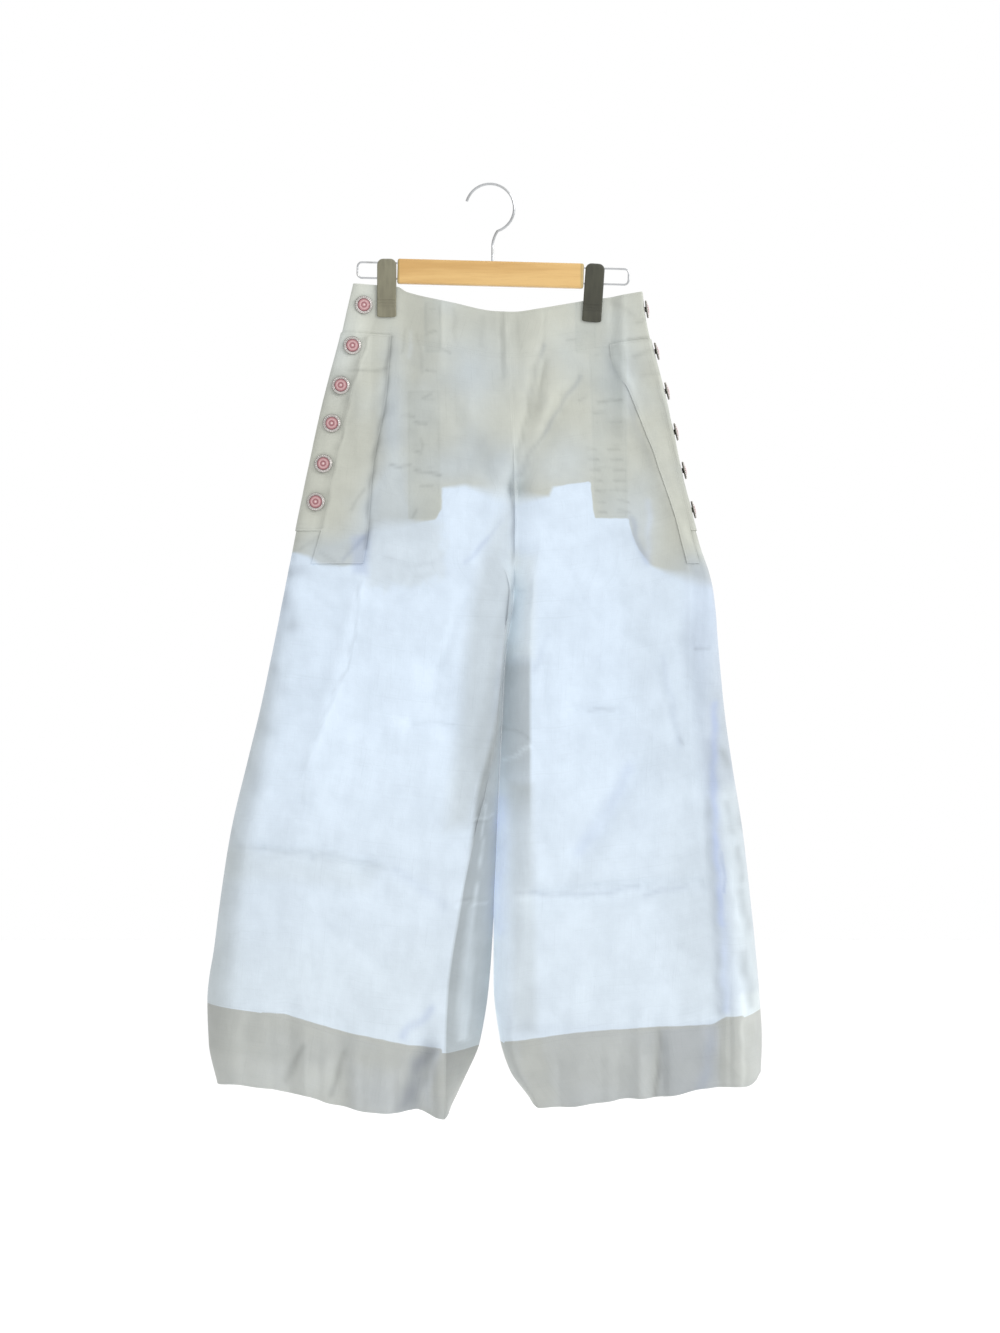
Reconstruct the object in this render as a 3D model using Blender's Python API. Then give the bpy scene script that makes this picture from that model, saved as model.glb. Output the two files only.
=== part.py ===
"""Wide balloon-leg trousers hanging from a wooden clip hanger.

The cloth is a hollow wall: two front and two back panels, a waistband, two hem bands drawn in
at the bottom, and the strips, facings and pocket bags that lie on the panels. Every piece of
cloth is read from one surface for each leg, worked out from the tables below.

Frame: X to the viewer's right, the front faces -Y, +Z up, origin at the inner top of the hook.
Sizes and places are in millimetres, "drop" is the distance below the origin, and the meshes
are scaled to metres when they are made.
"""
import math
from collections import namedtuple

import bmesh
import bpy
from mathutils import Vector

MM = 0.001

# ---------------------------------------------------------------- driving dimensions
CLOTH = 1.2                 # wall of a single cloth panel
HEM_CLOTH = 2.0             # wall of the doubled hem band
STRIP_CLOTH = 1.2           # button strips and side laps
INNER_CLOTH = 0.8           # facings, buttonhole strips and pocket bags
SEAM_GAP = 0.4              # between two pieces at a seam
LAY_GAP = 0.3               # between a piece and what it lies on
LEG_GAP = 1.5               # between the two inseams where the legs hang side by side

WAIST_TOP = 114.0           # levels of the seams, measured down the left side
WAIST_SEAM = 171.0
CROTCH_TURN = 365.0         # the centre seams start to run under
CROTCH = 468.0
HEM_SEAM = 944.0
HEM_BOTTOM = 1037.0
STRIP_END = 400.0           # lower ends of the button strips and the side laps
LAP_END = 438.0
FACING_TOP = 190.0
FACING_END = 352.0
HOLE_STRIP_END = 376.0
BAG_END = 462.0

WAIST_LEVELS = (WAIST_TOP, 133.0, 152.0, WAIST_SEAM)
PANEL_LEVELS = (
    WAIST_SEAM, FACING_TOP, 212.0, 238.0, 268.0, 300.0, 330.0, FACING_END, HOLE_STRIP_END,
    STRIP_END, 420.0, LAP_END, 452.0, BAG_END, CROTCH, 482.0, 505.0, 550.0, 606.0, 663.0,
    720.0, 775.0, 830.0, 885.0, HEM_SEAM,
)
HEM_LEVELS = (HEM_SEAM, 967.0, 990.0, 1013.0, HEM_BOTTOM)
LEVELS = WAIST_LEVELS[:-1] + PANEL_LEVELS[:-1] + HEM_LEVELS

# ---------------------------------------------------------------- outline from the front
# outer: side silhouette; corner: edge of the button strip, lower down the fold where the side
# face starts; lap: edge of the side opening, lower down a pressed crease; fold: front edge of
# the inner side face; inner: centre seam, below the crotch the inseam.
Outline = namedtuple("Outline", "drop outer corner lap fold inner")
LEFT_OUTLINE = (
    Outline(114, -158.0, -130.0, -107.0, -14.0, 19.5),
    Outline(146, -165.5, -132.0, -108.5, -13.0, 20.5),
    Outline(175, -172.0, -142.5, -114.0, -12.0, 21.8),
    Outline(238, -188.6, -160.5, -118.5, -10.0, 24.5),
    Outline(330, -209.3, -180.0, -134.0, -7.5, 27.8),
    Outline(400, -223.5, -194.5, -139.5, -2.0, 28.7),
    Outline(468, -237.0, -214.0, -150.5, 22.0, 27.6),
    Outline(550, -253.5, -236.0, -163.0, 13.5, 17.5),
    Outline(610, -266.5, -247.0, -186.0, 8.5, 14.3),
    Outline(663, -279.5, -257.5, -209.0, 2.5, 11.7),
    Outline(745, -299.0, -275.0, -223.0, -19.5, 7.5),
    Outline(818, -310.5, -284.0, -230.0, -37.0, 4.0),
    Outline(881, -318.5, -290.0, -231.5, -48.0, -1.2),
    Outline(944, -326.5, -294.5, -232.5, -50.5, -12.5),
    Outline(990, -325.0, -293.0, -232.0, -50.5, -29.0),
    Outline(1037, -315.0, -289.0, -230.0, -52.0, -45.5),
)
RIGHT_OUTLINE = (
    Outline(114, 176.0, 169.0, 137.0, 57.5, 19.5),
    Outline(146, 180.0, 174.5, 137.0, 58.0, 20.5),
    Outline(175, 186.0, 179.5, 138.5, 58.5, 21.8),
    Outline(238, 201.0, 194.0, 160.0, 60.0, 24.5),
    Outline(330, 220.0, 214.0, 193.0, 63.0, 27.8),
    Outline(400, 237.0, 230.0, 216.0, 60.0, 28.7),
    Outline(468, 257.5, 245.0, 229.0, 49.5, 27.6),
    Outline(550, 265.0, 245.5, 228.0, 46.0, 17.5),
    Outline(610, 271.0, 246.0, 228.0, 46.0, 14.3),
    Outline(663, 278.5, 247.5, 229.0, 46.0, 11.7),
    Outline(745, 292.0, 256.5, 238.0, 46.0, 7.5),
    Outline(818, 300.5, 269.0, 248.0, 41.5, 4.0),
    Outline(881, 307.0, 279.5, 255.0, 33.0, 4.0),
    Outline(944, 312.0, 290.0, 261.0, 27.0, 11.5),
    Outline(990, 314.0, 293.0, 263.0, 36.0, 23.0),
    Outline(1037, 312.5, 295.5, 261.0, 56.0, 47.0),
)

# ---------------------------------------------------------------- depth from the side
# fold, lap, corner: how far each line stands in front of the middle; back: share of that for
# the back panel; seam: how far behind the middle the side seam lies; side, inside: how square
# the outer and the inner side faces turn (1 is a straight slope, 6 a box corner).
Depth = namedtuple("Depth", "drop fold lap corner back seam side inside")
LEFT_DEPTH = (
    Depth(114, 12, 9, 8, 0.75, 0, 5.0, 1.2),
    Depth(171, 19, 13, 10, 0.85, 0, 5.0, 1.2),
    Depth(238, 26, 19, 13, 0.90, 0, 5.0, 1.2),
    Depth(330, 33, 25, 17, 0.95, 0, 4.5, 1.2),
    Depth(400, 37, 30, 21, 0.95, 0, 4.0, 1.2),
    Depth(468, 40, 35, 26, 0.95, 0, 3.0, 1.3),
    Depth(550, 42, 40, 32, 0.95, 0, 2.0, 1.4),
    Depth(663, 44, 44, 38, 0.92, 0, 1.5, 1.3),
    Depth(818, 46, 46, 42, 0.92, 0, 1.4, 1.1),
    Depth(944, 48, 48, 44, 0.90, 0, 1.5, 1.1),
    Depth(1037, 42, 42, 38, 0.88, 0, 1.8, 1.3),
)
RIGHT_DEPTH = (
    Depth(114, 12, 11, 13, 0.75, 6, 5.0, 1.2),
    Depth(171, 19, 15, 15, 0.85, 8, 5.0, 1.2),
    Depth(238, 26, 21, 18, 0.90, 9, 5.0, 1.2),
    Depth(330, 33, 27, 21, 0.95, 9, 4.5, 1.2),
    Depth(400, 37, 33, 26, 0.95, 8, 4.0, 1.2),
    Depth(468, 40, 38, 33, 0.95, 4, 3.0, 1.3),
    Depth(550, 42, 42, 38, 0.95, 0, 2.0, 1.4),
    Depth(663, 44, 45, 42, 0.92, 0, 1.5, 1.3),
    Depth(818, 46, 47, 45, 0.92, 0, 1.4, 1.5),
    Depth(944, 48, 48, 46, 0.90, 0, 1.5, 1.8),
    Depth(1037, 42, 42, 38, 0.88, 0, 1.8, 1.8),
)
BACK_SLOPE = 0.6            # side faces of the back slope this share of the front's

# ---------------------------------------------------------------- edges that aren't level
Edge = namedtuple("Edge", "across drop")
WAIST_EDGE = (
    Edge(-158, 114.0), Edge(-107, 117.5), Edge(-96, 123.5), Edge(-41, 137.0), Edge(6, 146.5),
    Edge(27, 147.2), Edge(56, 143.5), Edge(107, 134.0), Edge(137, 130.0), Edge(176, 123.8),
)
LEFT_HEM_SEAM = (
    Edge(-326, 944.0), Edge(-237, 956.0), Edge(-164, 978.5), Edge(-92, 993.5),
    Edge(-50, 998.0), Edge(-12, 992.5),
)
LEFT_HEM_EDGE = (
    Edge(-315, 1037.0), Edge(-295, 1035.5), Edge(-209, 1049.0), Edge(-164, 1061.5),
    Edge(-123, 1068.0), Edge(-87, 1064.0), Edge(-52, 1075.0), Edge(-45, 1066.0),
)
RIGHT_HEM_SEAM = (
    Edge(11, 987.0), Edge(27, 989.0), Edge(90, 979.0), Edge(193, 972.0), Edge(261, 967.0),
    Edge(290, 957.5), Edge(312, 951.0),
)
RIGHT_HEM_EDGE = (
    Edge(47, 1056.0), Edge(56, 1061.5), Edge(148, 1053.0), Edge(198, 1049.0),
    Edge(247, 1040.0), Edge(295, 1037.0), Edge(312, 1023.5),
)
BACK_EDGE_RISE = 6.0        # the back hem hangs this much higher than the front
WAIST_SLOPE_END = 330.0     # below this level the sag of the waist has died out
HEM_SLOPE_START = 640.0     # above this level the slope of the hem hasn't begun

# ---------------------------------------------------------------- folds
# From one place to another on the front or back; width is the half width, height is
# positive for a ridge and negative for a trough.
Fold = namedtuple("Fold", "face x0 drop0 x1 drop1 width height")
FOLDS = (
    Fold("front", 65, 195, 30, 350, 11, -4.5),        # drag lines that run to the crotch
    Fold("front", 105, 222, 31, 352, 12, -5.0),
    Fold("front", 84, 205, 40, 330, 11, 3.0),
    Fold("front", -64, 230, 10, 356, 15, -3.0),
    Fold("front", 30, 352, 28, 500, 12, -3.0),
    Fold("front", 131, 180, 186, 310, 13, 4.5),       # from the right clip to the hip
    Fold("front", 186, 310, 236, 425, 11, 3.5),
    Fold("front", -94, 175, -74, 330, 14, 2.0),
    Fold("front", -148, 455, -209, 670, 9, 3.5),      # pressed crease down the left leg
    Fold("front", -60, 560, -22, 730, 20, -4.0),      # hollow along the inner left leg
    Fold("front", -296, 762, -146, 786, 15, -5.0),    # bends across the legs
    Fold("front", -146, 786, -62, 800, 14, -3.0),
    Fold("front", 48, 822, 240, 806, 15, -6.0),
    Fold("front", 171, 674, 85, 800, 20, -4.0),
    Fold("front", 97, 606, 144, 606, 11, -2.5),
    Fold("front", -88, 622, -42, 622, 11, -2.5),
    Fold("front", 238, 535, 247, 680, 12, 3.0),
    Fold("front", -232, 905, -231, 1050, 12, -6.0),   # folds that rise out of the hem
    Fold("front", -171, 935, -167, 1065, 12, -7.0),
    Fold("front", -78, 925, -76, 1070, 13, -10.0),
    Fold("front", -122, 960, -120, 1068, 12, 3.5),
    Fold("front", 158, 935, 156, 1052, 12, -6.0),
    Fold("front", 188, 925, 190, 1048, 12, -8.0),
    Fold("front", 262, 885, 262, 1040, 11, -9.0),
    Fold("front", 100, 960, 102, 1056, 14, 3.0),
    Fold("back", -60, 190, 20, 400, 14, -4.0),        # the back, like the front
    Fold("back", 95, 200, 30, 400, 14, -4.0),
    Fold("back", -250, 800, -90, 770, 16, -5.0),
    Fold("back", 70, 770, 240, 800, 16, -5.0),
    Fold("back", -200, 600, -120, 720, 18, -4.0),
    Fold("back", 190, 560, 120, 700, 18, -4.0),
    Fold("back", -240, 920, -238, 1050, 14, -6.0),
    Fold("back", -130, 925, -128, 1060, 14, -8.0),
    Fold("back", 120, 925, 122, 1050, 14, -7.0),
    Fold("back", 215, 905, 214, 1040, 14, -8.0),
)

# Strips of the panel between its lines: how many cells each takes across.
Cells = namedtuple("Cells", "inner face lap side")
FRONT_CELLS = Cells(inner=3, face=10, lap=2, side=4)
BACK_CELLS = Cells(inner=3, face=6, lap=2, side=3)

# ---------------------------------------------------------------- clips and hanger
CLIP_WIDTH = 22.0
CLIP_HALF_GRIP = CLIP_WIDTH / 2 + 5.0   # the cloth is pressed flat this far each way
PRESSED_HALF = 1.5          # half the thickness of the pressed cloth
PRESS_END = 158.0           # the cloth is pressed flat down to this level
PRESS_FADE_END = 330.0      # and has opened out again at this one
PRESS_FADE_IN = 48.0        # across, towards the middle
PRESS_FADE_OUT = 18.0       # across, towards the side

Clip = namedtuple("Clip", "name across top lean colour")
CLIPS = (
    Clip("clip_left", -119.3, 85.0, 0.0, (0.24, 0.23, 0.17, 1.0)),
    Clip("clip_right", 121.8, 90.6, 4.0, (0.07, 0.07, 0.05, 1.0)),
)
CLIP_HEIGHT = 68.0
CLIP_TOP_WALL = 3.0
CLIP_JAW_WALL = 3.0
CLIP_CAVITY_HALF = 3.5      # room for the rail wires
CLIP_JAW_START = 40.0       # below its top the jaws close on the cloth
CLIP_JAW_TURN = 6.0         # the jaws start to close this far above that outside
CLIP_LIP = 1.5              # rounding of the ends of the jaws
CLIP_EDGE_BEVEL = 0.8

BAR_LENGTH = 215.0
BAR_HEIGHT = 28.8
BAR_THICKNESS = 12.0
BAR_BEVEL = 2.0
BAR_CENTRE_X = 0.6
BAR_CENTRE_DROP = 102.4
BAR_TILT = 1.5              # degrees, the right end hangs lower

RAIL_WIRE = 2.3             # diameter
RAIL_UP = 9.5               # the two wires of a rail, from the bar's middle line
RAIL_DOWN = -8.5
RAIL_REACH_LEFT = 47.0
RAIL_REACH_RIGHT = 53.0
RAIL_CORNER = 5.0

HOOK_WIRE = 3.0
HOOK_RADIUS = 28.0          # to the middle of the wire
HOOK_TIP_ANGLE = 164.0      # degrees, from the right over the top to the tip
HOOK_END_ANGLE = -72.0
HOOK_NECK = 16.0            # drop of the bend between the round and the stem
HOOK_STEM_X = 3.0

# ---------------------------------------------------------------- buttons
BUTTON_RADIUS = 10.6
BUTTON_STEPS = 12
SHANK_RADIUS = 3.0
SHANK_HEIGHT = 1.2
BUTTON_PROFILE = (          # from the foot of the shank round the rim to the crown
    (SHANK_RADIUS, 0.0), (SHANK_RADIUS, SHANK_HEIGHT), (9.6, 1.4), (BUTTON_RADIUS, 2.6),
    (9.8, 4.2), (8.2, 3.3), (4.4, 4.0),
)
BUTTON_CROWN = 4.5
# drops of the six buttons of each side; column: where across the side strip they sit
LEFT_BUTTON_DROPS = (139.0, 186.5, 232.5, 276.5, 323.0, 367.0)
RIGHT_BUTTON_DROPS = (144.0, 193.0, 239.0, 286.0, 330.5, 376.0)
LEFT_BUTTON_COLUMN = 0.66
RIGHT_BUTTON_COLUMN = 3.35

COTTON = (0.69, 0.78, 0.87, 1.0)
COTTON_DOUBLE = (0.54, 0.57, 0.53, 1.0)
COTTON_INNER = (0.58, 0.60, 0.54, 1.0)

Leg = namedtuple("Leg", "name sign outline depth hem_seam hem_edge")
LEFT = Leg("left", -1, LEFT_OUTLINE, LEFT_DEPTH, LEFT_HEM_SEAM, LEFT_HEM_EDGE)
RIGHT = Leg("right", 1, RIGHT_OUTLINE, RIGHT_DEPTH, RIGHT_HEM_SEAM, RIGHT_HEM_EDGE)


# ---------------------------------------------------------------- reading the tables
def along(table, column, place, key="drop"):
    """A column of a table at a place, on a smooth curve that never overshoots its rows."""
    keys = [getattr(row, key) for row in table]
    values = [getattr(row, column) for row in table]
    if place <= keys[0]:
        return values[0]
    if place >= keys[-1]:
        return values[-1]
    slopes = [(values[i + 1] - values[i]) / (keys[i + 1] - keys[i]) for i in range(len(keys) - 1)]
    k = max(i for i in range(len(keys) - 1) if keys[i] <= place)

    def tangent(i):
        before = slopes[max(i - 1, 0)]
        after = slopes[min(i, len(slopes) - 1)]
        if before * after <= 0:
            return 0.0
        return 2 * before * after / (before + after)

    span = keys[k + 1] - keys[k]
    t = (place - keys[k]) / span
    a = (1 + 2 * t) * (1 - t) ** 2 * values[k] + t * (1 - t) ** 2 * span * tangent(k)
    b = t * t * (3 - 2 * t) * values[k + 1] - t * t * (1 - t) * span * tangent(k + 1)
    return a + b


def fade(value, start, end):
    """1 at the start, 0 at the end, smooth in between."""
    t = min(max((value - start) / (end - start), 0.0), 1.0)
    return 1 - t * t * (3 - 2 * t)


def mix(a, b, t):
    return a + (b - a) * t


# ---------------------------------------------------------------- the surface of a leg
def pressed(x, level):
    """How fully a clip presses the cloth flat here, from 0 to 1."""
    share = 0.0
    for clip in CLIPS:
        side = math.copysign(1.0, clip.across)
        beyond = (x - clip.across) * side
        reach = PRESS_FADE_OUT if beyond > 0 else PRESS_FADE_IN
        share = max(share, fade(abs(beyond), CLIP_HALF_GRIP, CLIP_HALF_GRIP + reach))
    return share * fade(level, PRESS_END, PRESS_FADE_END)


def press(y, x, level):
    """The depth y with the clips' grip on it."""
    if abs(y) <= PRESSED_HALF:
        return y
    flat = math.copysign(PRESSED_HALF, y)
    return mix(y, flat, pressed(x, level))


def plan(leg, level, front):
    """One panel seen from above at a level: points (x, y) from its inner to its side seam."""
    cells = FRONT_CELLS if front else BACK_CELLS
    face = -1 if front else 1
    share = 1.0 if front else along(leg.depth, "back", level)
    slope = 1.0 if front else mix(BACK_SLOPE, 1.0, fade(level, PRESS_FADE_END, CROTCH))
    line = {name: along(leg.outline, name, level) for name in Outline._fields[1:]}
    deep = {name: share * along(leg.depth, name, level) for name in ("fold", "lap", "corner")}
    seam = along(leg.depth, "seam", level)
    side = 2 / along(leg.depth, "side", level)
    inside = 2 / along(leg.depth, "inside", level)

    inner = line["inner"] + (leg.sign * LEG_GAP / 2 if level >= CROTCH else 0.0)
    fold = mix(inner, line["fold"], slope)
    corner = mix(line["outer"], line["corner"], slope)
    open_share = 0.0
    if level < CROTCH:
        turn = max(level - CROTCH_TURN, 0.0) / (CROTCH - CROTCH_TURN)
        open_share = math.sqrt(1 - turn * turn)
    inner_y = face * open_share * deep["fold"]

    points = []
    for i in range(cells.inner):
        angle = math.pi / 2 * i / cells.inner
        x = mix(inner, fold, 1 - math.cos(angle) ** inside)
        points.append((x, mix(inner_y, face * deep["fold"], math.sin(angle) ** inside)))
    for i in range(cells.face):
        t = i / cells.face
        points.append((mix(fold, line["lap"], t), face * mix(deep["fold"], deep["lap"], t * t)))
    for i in range(cells.lap):
        t = i / cells.lap
        points.append((mix(line["lap"], corner, t), face * mix(deep["lap"], deep["corner"], t)))
    for i in range(cells.side + 1):
        angle = math.pi / 2 * i / cells.side
        x = mix(corner, line["outer"], math.sin(angle) ** side)
        y = mix(seam, face * deep["corner"], max(math.cos(angle), 0.0) ** side)
        points.append((x, y))
    return [(x, press(y, x, level)) for x, y in points]


def drop_at(leg, x, level, front):
    """The true drop of a point: its level, with the sag of the waist and the slope of the hem."""
    waist = along(WAIST_EDGE, "drop", x, key="across") - WAIST_TOP
    seam = along(leg.hem_seam, "drop", x, key="across") - HEM_SEAM
    edge = along(leg.hem_edge, "drop", x, key="across") - HEM_BOTTOM
    rise = 0.0 if front else BACK_EDGE_RISE
    below = min(max((level - HEM_SEAM) / (HEM_BOTTOM - HEM_SEAM), 0.0), 1.0)
    slope = mix(seam, edge, below) - rise
    sag = waist * fade(level, WAIST_TOP, WAIST_SLOPE_END)
    return level + sag + slope * (1 - fade(level, HEM_SLOPE_START, HEM_SEAM))


def ring(leg, level):
    """All round a leg at a level: front from the inner to the side seam, then the back."""
    loops = []
    for front in (True, False):
        path = plan(leg, level, front)
        loops.append([Vector((x, y, -drop_at(leg, x, level, front))) for x, y in path])
    front_path, back_path = loops
    seam = (front_path[-1] + back_path[-1]) / 2
    return front_path[:-1] + [seam] + back_path[-2::-1]


def normals(leg, own, other):
    """Outward directions of a leg's points. Above the crotch the other leg carries on."""
    result = []
    for j, row in enumerate(own):
        above = own[max(j - 1, 0)]
        below = own[min(j + 1, len(own) - 1)]
        joined = LEVELS[j] < CROTCH
        line = []
        for i in range(len(row)):
            before = row[i - 1] if i > 0 else (other[j][1] if joined else row[-2])
            after = row[i + 1] if i < len(row) - 1 else (other[j][-2] if joined else row[1])
            out = (after - before).cross(below[i] - above[i])
            line.append((out * -leg.sign).normalized())
        result.append(line)
    return result


def fold_height(point, front):
    """How far the folds lift or sink the cloth here."""
    height = 0.0
    here = Vector((point.x, -point.z))
    for fold in FOLDS:
        if (fold.face == "front") != front:
            continue
        start = Vector((fold.x0, fold.drop0))
        run = Vector((fold.x1, fold.drop1)) - start
        t = (here - start).dot(run) / run.length_squared
        off = (here - start - run * min(max(t, 0.0), 1.0)).length
        height += fold.height * math.exp(-((off / fold.width) ** 2))
    return height


def folded(leg, rows, outward):
    """The leg's points with its folds. The side and centre seams stay where they are."""
    front_count = sum(FRONT_CELLS)
    result = []
    for j, row in enumerate(rows):
        line = []
        for i, point in enumerate(row):
            front = i < front_count
            face_on = max(abs(outward[j][i].y) - 0.5, 0.0) * 2
            loose = 1 - pressed(point.x, LEVELS[j])
            lift = fold_height(point, front) * face_on * loose
            if i in (0, front_count, len(row) - 1):
                lift = 0.0
            line.append(point + outward[j][i] * lift)
        result.append(line)
    return result


Surface = namedtuple("Surface", "points outward")


def leg_surfaces():
    """The folded surface and its outward directions for the left and the right leg."""
    plain = {leg.name: [ring(leg, level) for level in LEVELS] for leg in (LEFT, RIGHT)}
    other = {"left": "right", "right": "left"}
    shaped = {}
    for leg in (LEFT, RIGHT):
        outward = normals(leg, plain[leg.name], plain[other[leg.name]])
        shaped[leg.name] = folded(leg, plain[leg.name], outward)
    surfaces = {}
    for leg in (LEFT, RIGHT):
        outward = normals(leg, shaped[leg.name], shaped[other[leg.name]])
        surfaces[leg.name] = Surface(shaped[leg.name], outward)
    return surfaces


# ---------------------------------------------------------------- cloth pieces
def material(name, colour, roughness=0.8, metallic=0.0):
    """A Principled material of one colour."""
    finish = bpy.data.materials.new(name)
    finish.use_nodes = True
    shader = finish.node_tree.nodes["Principled BSDF"]
    shader.inputs["Base Color"].default_value = colour
    shader.inputs["Roughness"].default_value = roughness
    shader.inputs["Metallic"].default_value = metallic
    finish.diffuse_color = colour
    return finish


def add_object(name, mesh, finish):
    mesh.materials.append(finish)
    thing = bpy.data.objects.new(name, mesh)
    bpy.context.scene.collection.objects.link(thing)
    return thing


def trimmed(rows, gap, closed):
    """A grid drawn in by half a seam at each of its edges."""
    rows = [[point.copy() for point in row] for row in rows]
    half = gap / 2
    last = len(rows) - 1
    for edge, inside in ((0, 1), (last, last - 1)):
        for i, point in enumerate(rows[edge]):
            point += (rows[inside][i] - point).normalized() * half
    if not closed:
        for row in rows:
            row[0] += (row[1] - row[0]).normalized() * half
            row[-1] += (row[-2] - row[-1]).normalized() * half
    return rows


def wall(name, outer, inner, finish, closed=False):
    """A closed wall between two grids of points; a closed grid runs round on itself."""
    bm = bmesh.new()
    skins = [[[bm.verts.new(p * MM) for p in row] for row in grid] for grid in (outer, inner)]
    height = len(outer) - 1
    width = len(outer[0]) if closed else len(outer[0]) - 1
    for skin in skins:
        for j in range(height):
            for i in range(width):
                k = (i + 1) % len(skin[j])
                bm.faces.new((skin[j][i], skin[j][k], skin[j + 1][k]))
                bm.faces.new((skin[j][i], skin[j + 1][k], skin[j + 1][i]))
    rims = [[skin[0] for skin in skins], [skin[-1] for skin in skins]]
    for upper, lower in rims:
        for i in range(width):
            k = (i + 1) % len(upper)
            bm.faces.new((upper[i], upper[k], lower[k], lower[i]))
    if not closed:
        for i in (0, -1):
            for j in range(height):
                bm.faces.new((skins[0][j][i], skins[0][j + 1][i], skins[1][j + 1][i], skins[1][j][i]))
    bmesh.ops.recalc_face_normals(bm, faces=bm.faces)
    mesh = bpy.data.meshes.new(name)
    bm.to_mesh(mesh)
    bm.free()
    mesh.shade_smooth()
    mesh.set_sharp_from_angle(angle=math.radians(40))
    return add_object(name, mesh, finish)


def patch(surface, levels, columns, lift, closed=False, gap=SEAM_GAP):
    """Part of a leg's surface moved out by a lift (in, where it is negative)."""
    rows = [LEVELS.index(level) for level in levels]
    grid = [[surface.points[j][i] + surface.outward[j][i] * lift for i in columns] for j in rows]
    return trimmed(grid, gap, closed)


def levels_between(top, bottom):
    return [level for level in LEVELS if top <= level <= bottom]


def cloth(name, surface, top, bottom, columns, lift, thickness, finish, closed=False):
    """One piece of cloth: its outer skin stands at the lift, its inner skin a thickness below."""
    levels = levels_between(top, bottom)
    outer = patch(surface, levels, columns, lift, closed)
    inner = patch(surface, levels, columns, lift - thickness, closed)
    return wall(name, outer, inner, finish, closed)


def waistband(name, surfaces, columns, finish):
    """A waistband across both legs, from side seam to side seam."""
    skins = []
    for lift in (0.0, -CLOTH):
        grid = []
        for j in range(len(WAIST_LEVELS)):
            line = []
            for side, order in (("left", columns[::-1]), ("right", columns[1:])):
                surface = surfaces[side]
                line += [surface.points[j][i] + surface.outward[j][i] * lift for i in order]
            grid.append(line)
        skins.append(trimmed(grid, SEAM_GAP, closed=False))
    return wall(name, skins[0], skins[1], finish)


def make_cloth(surfaces):
    """All the pieces of cloth."""
    front_last = sum(FRONT_CELLS)
    ring_last = front_last + sum(BACK_CELLS)
    front = list(range(front_last + 1))
    back = list(range(ring_last, front_last - 1, -1))
    fold = FRONT_CELLS.inner
    lap = fold + FRONT_CELLS.face
    corner = lap + FRONT_CELLS.lap

    finish = material("cotton_panel", COTTON)
    doubled = material("cotton_double", COTTON_DOUBLE)
    inside = material("cotton_inside", COTTON_INNER)

    waistband("waistband_front", surfaces, front, material("cotton_waistband", COTTON_INNER))
    waistband("waistband_back", surfaces, back, material("cotton_waistband_back", COTTON_INNER))
    under = -(CLOTH + LAY_GAP)
    deeper = under - INNER_CLOTH - LAY_GAP
    over = LAY_GAP + STRIP_CLOTH
    for side in ("left", "right"):
        surface = surfaces[side]
        cloth(f"front_{side}", surface, WAIST_SEAM, HEM_SEAM, front, 0.0, CLOTH, finish)
        cloth(f"back_{side}", surface, WAIST_SEAM, HEM_SEAM, back, 0.0, CLOTH, finish)
        cloth(f"hem_band_{side}", surface, HEM_SEAM, HEM_BOTTOM, range(ring_last), 0.0,
              HEM_CLOTH, doubled, closed=True)
        cloth(f"button_strip_{side}", surface, WAIST_SEAM, STRIP_END,
              range(corner, front_last + 1), over, STRIP_CLOTH, doubled)
        cloth(f"side_lap_{side}", surface, WAIST_SEAM, LAP_END, range(lap, corner + 1),
              over, STRIP_CLOTH, doubled)
        cloth(f"facing_{side}", surface, FACING_TOP, FACING_END, range(1, lap + 1),
              under, INNER_CLOTH, inside)
        cloth(f"buttonhole_strip_{side}", surface, FACING_TOP, HOLE_STRIP_END,
              range(fold + 4, fold + 7), deeper, INNER_CLOTH, inside)
        cloth(f"pocket_bag_{side}", surface, HOLE_STRIP_END, BAG_END,
              range(fold + 4, lap + 1), under, INNER_CLOTH, inside)


# ---------------------------------------------------------------- buttons
def button_mesh():
    """A turned button with a shank behind, a rim and a low crown."""
    bm = bmesh.new()
    points = ((0.0, 0.0),) + BUTTON_PROFILE + ((0.0, BUTTON_CROWN),)
    verts = [bm.verts.new((r * MM, 0.0, z * MM)) for r, z in points]
    edges = [bm.edges.new(pair) for pair in zip(verts, verts[1:])]
    bmesh.ops.spin(bm, geom=verts + edges, cent=(0, 0, 0), axis=(0, 0, 1),
                   angle=2 * math.pi, steps=BUTTON_STEPS, use_merge=True)
    bmesh.ops.remove_doubles(bm, verts=bm.verts, dist=1e-6)
    bmesh.ops.recalc_face_normals(bm, faces=bm.faces)
    mesh = bpy.data.meshes.new("button")
    bm.to_mesh(mesh)
    bm.free()
    mesh.shade_smooth()
    mesh.set_sharp_from_angle(angle=math.radians(35))
    return mesh


def place_on(surface, column, drop, lift):
    """The point and the outward direction on a leg's surface at a column and a drop."""
    i = int(column)
    t = column - i

    def across(grid, j):
        return grid[j][i].lerp(grid[j][i + 1], t)

    j = 0
    while -across(surface.points, j + 1).z < drop:
        j += 1
    above = across(surface.points, j)
    below = across(surface.points, j + 1)
    down = (drop + above.z) / (above.z - below.z)
    out = across(surface.outward, j).lerp(across(surface.outward, j + 1), down).normalized()
    return above.lerp(below, down) + out * lift, out


def seat_height(surface, centre, out):
    """How far a button must be lifted for its shank and its disc to clear the surface."""
    lift = 0.0
    for row in surface.points:
        for a, b in zip(row, row[1:]):
            for t in (0.0, 0.25, 0.5, 0.75):
                offset = a.lerp(b, t) - centre
                height = offset.dot(out)
                radius = (offset - out * height).length
                if abs(height) < BUTTON_RADIUS and radius < BUTTON_RADIUS + 1.0:
                    room = 0.0 if radius < SHANK_RADIUS + 1.0 else SHANK_HEIGHT
                    lift = max(lift, height - room)
    return lift


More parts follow.
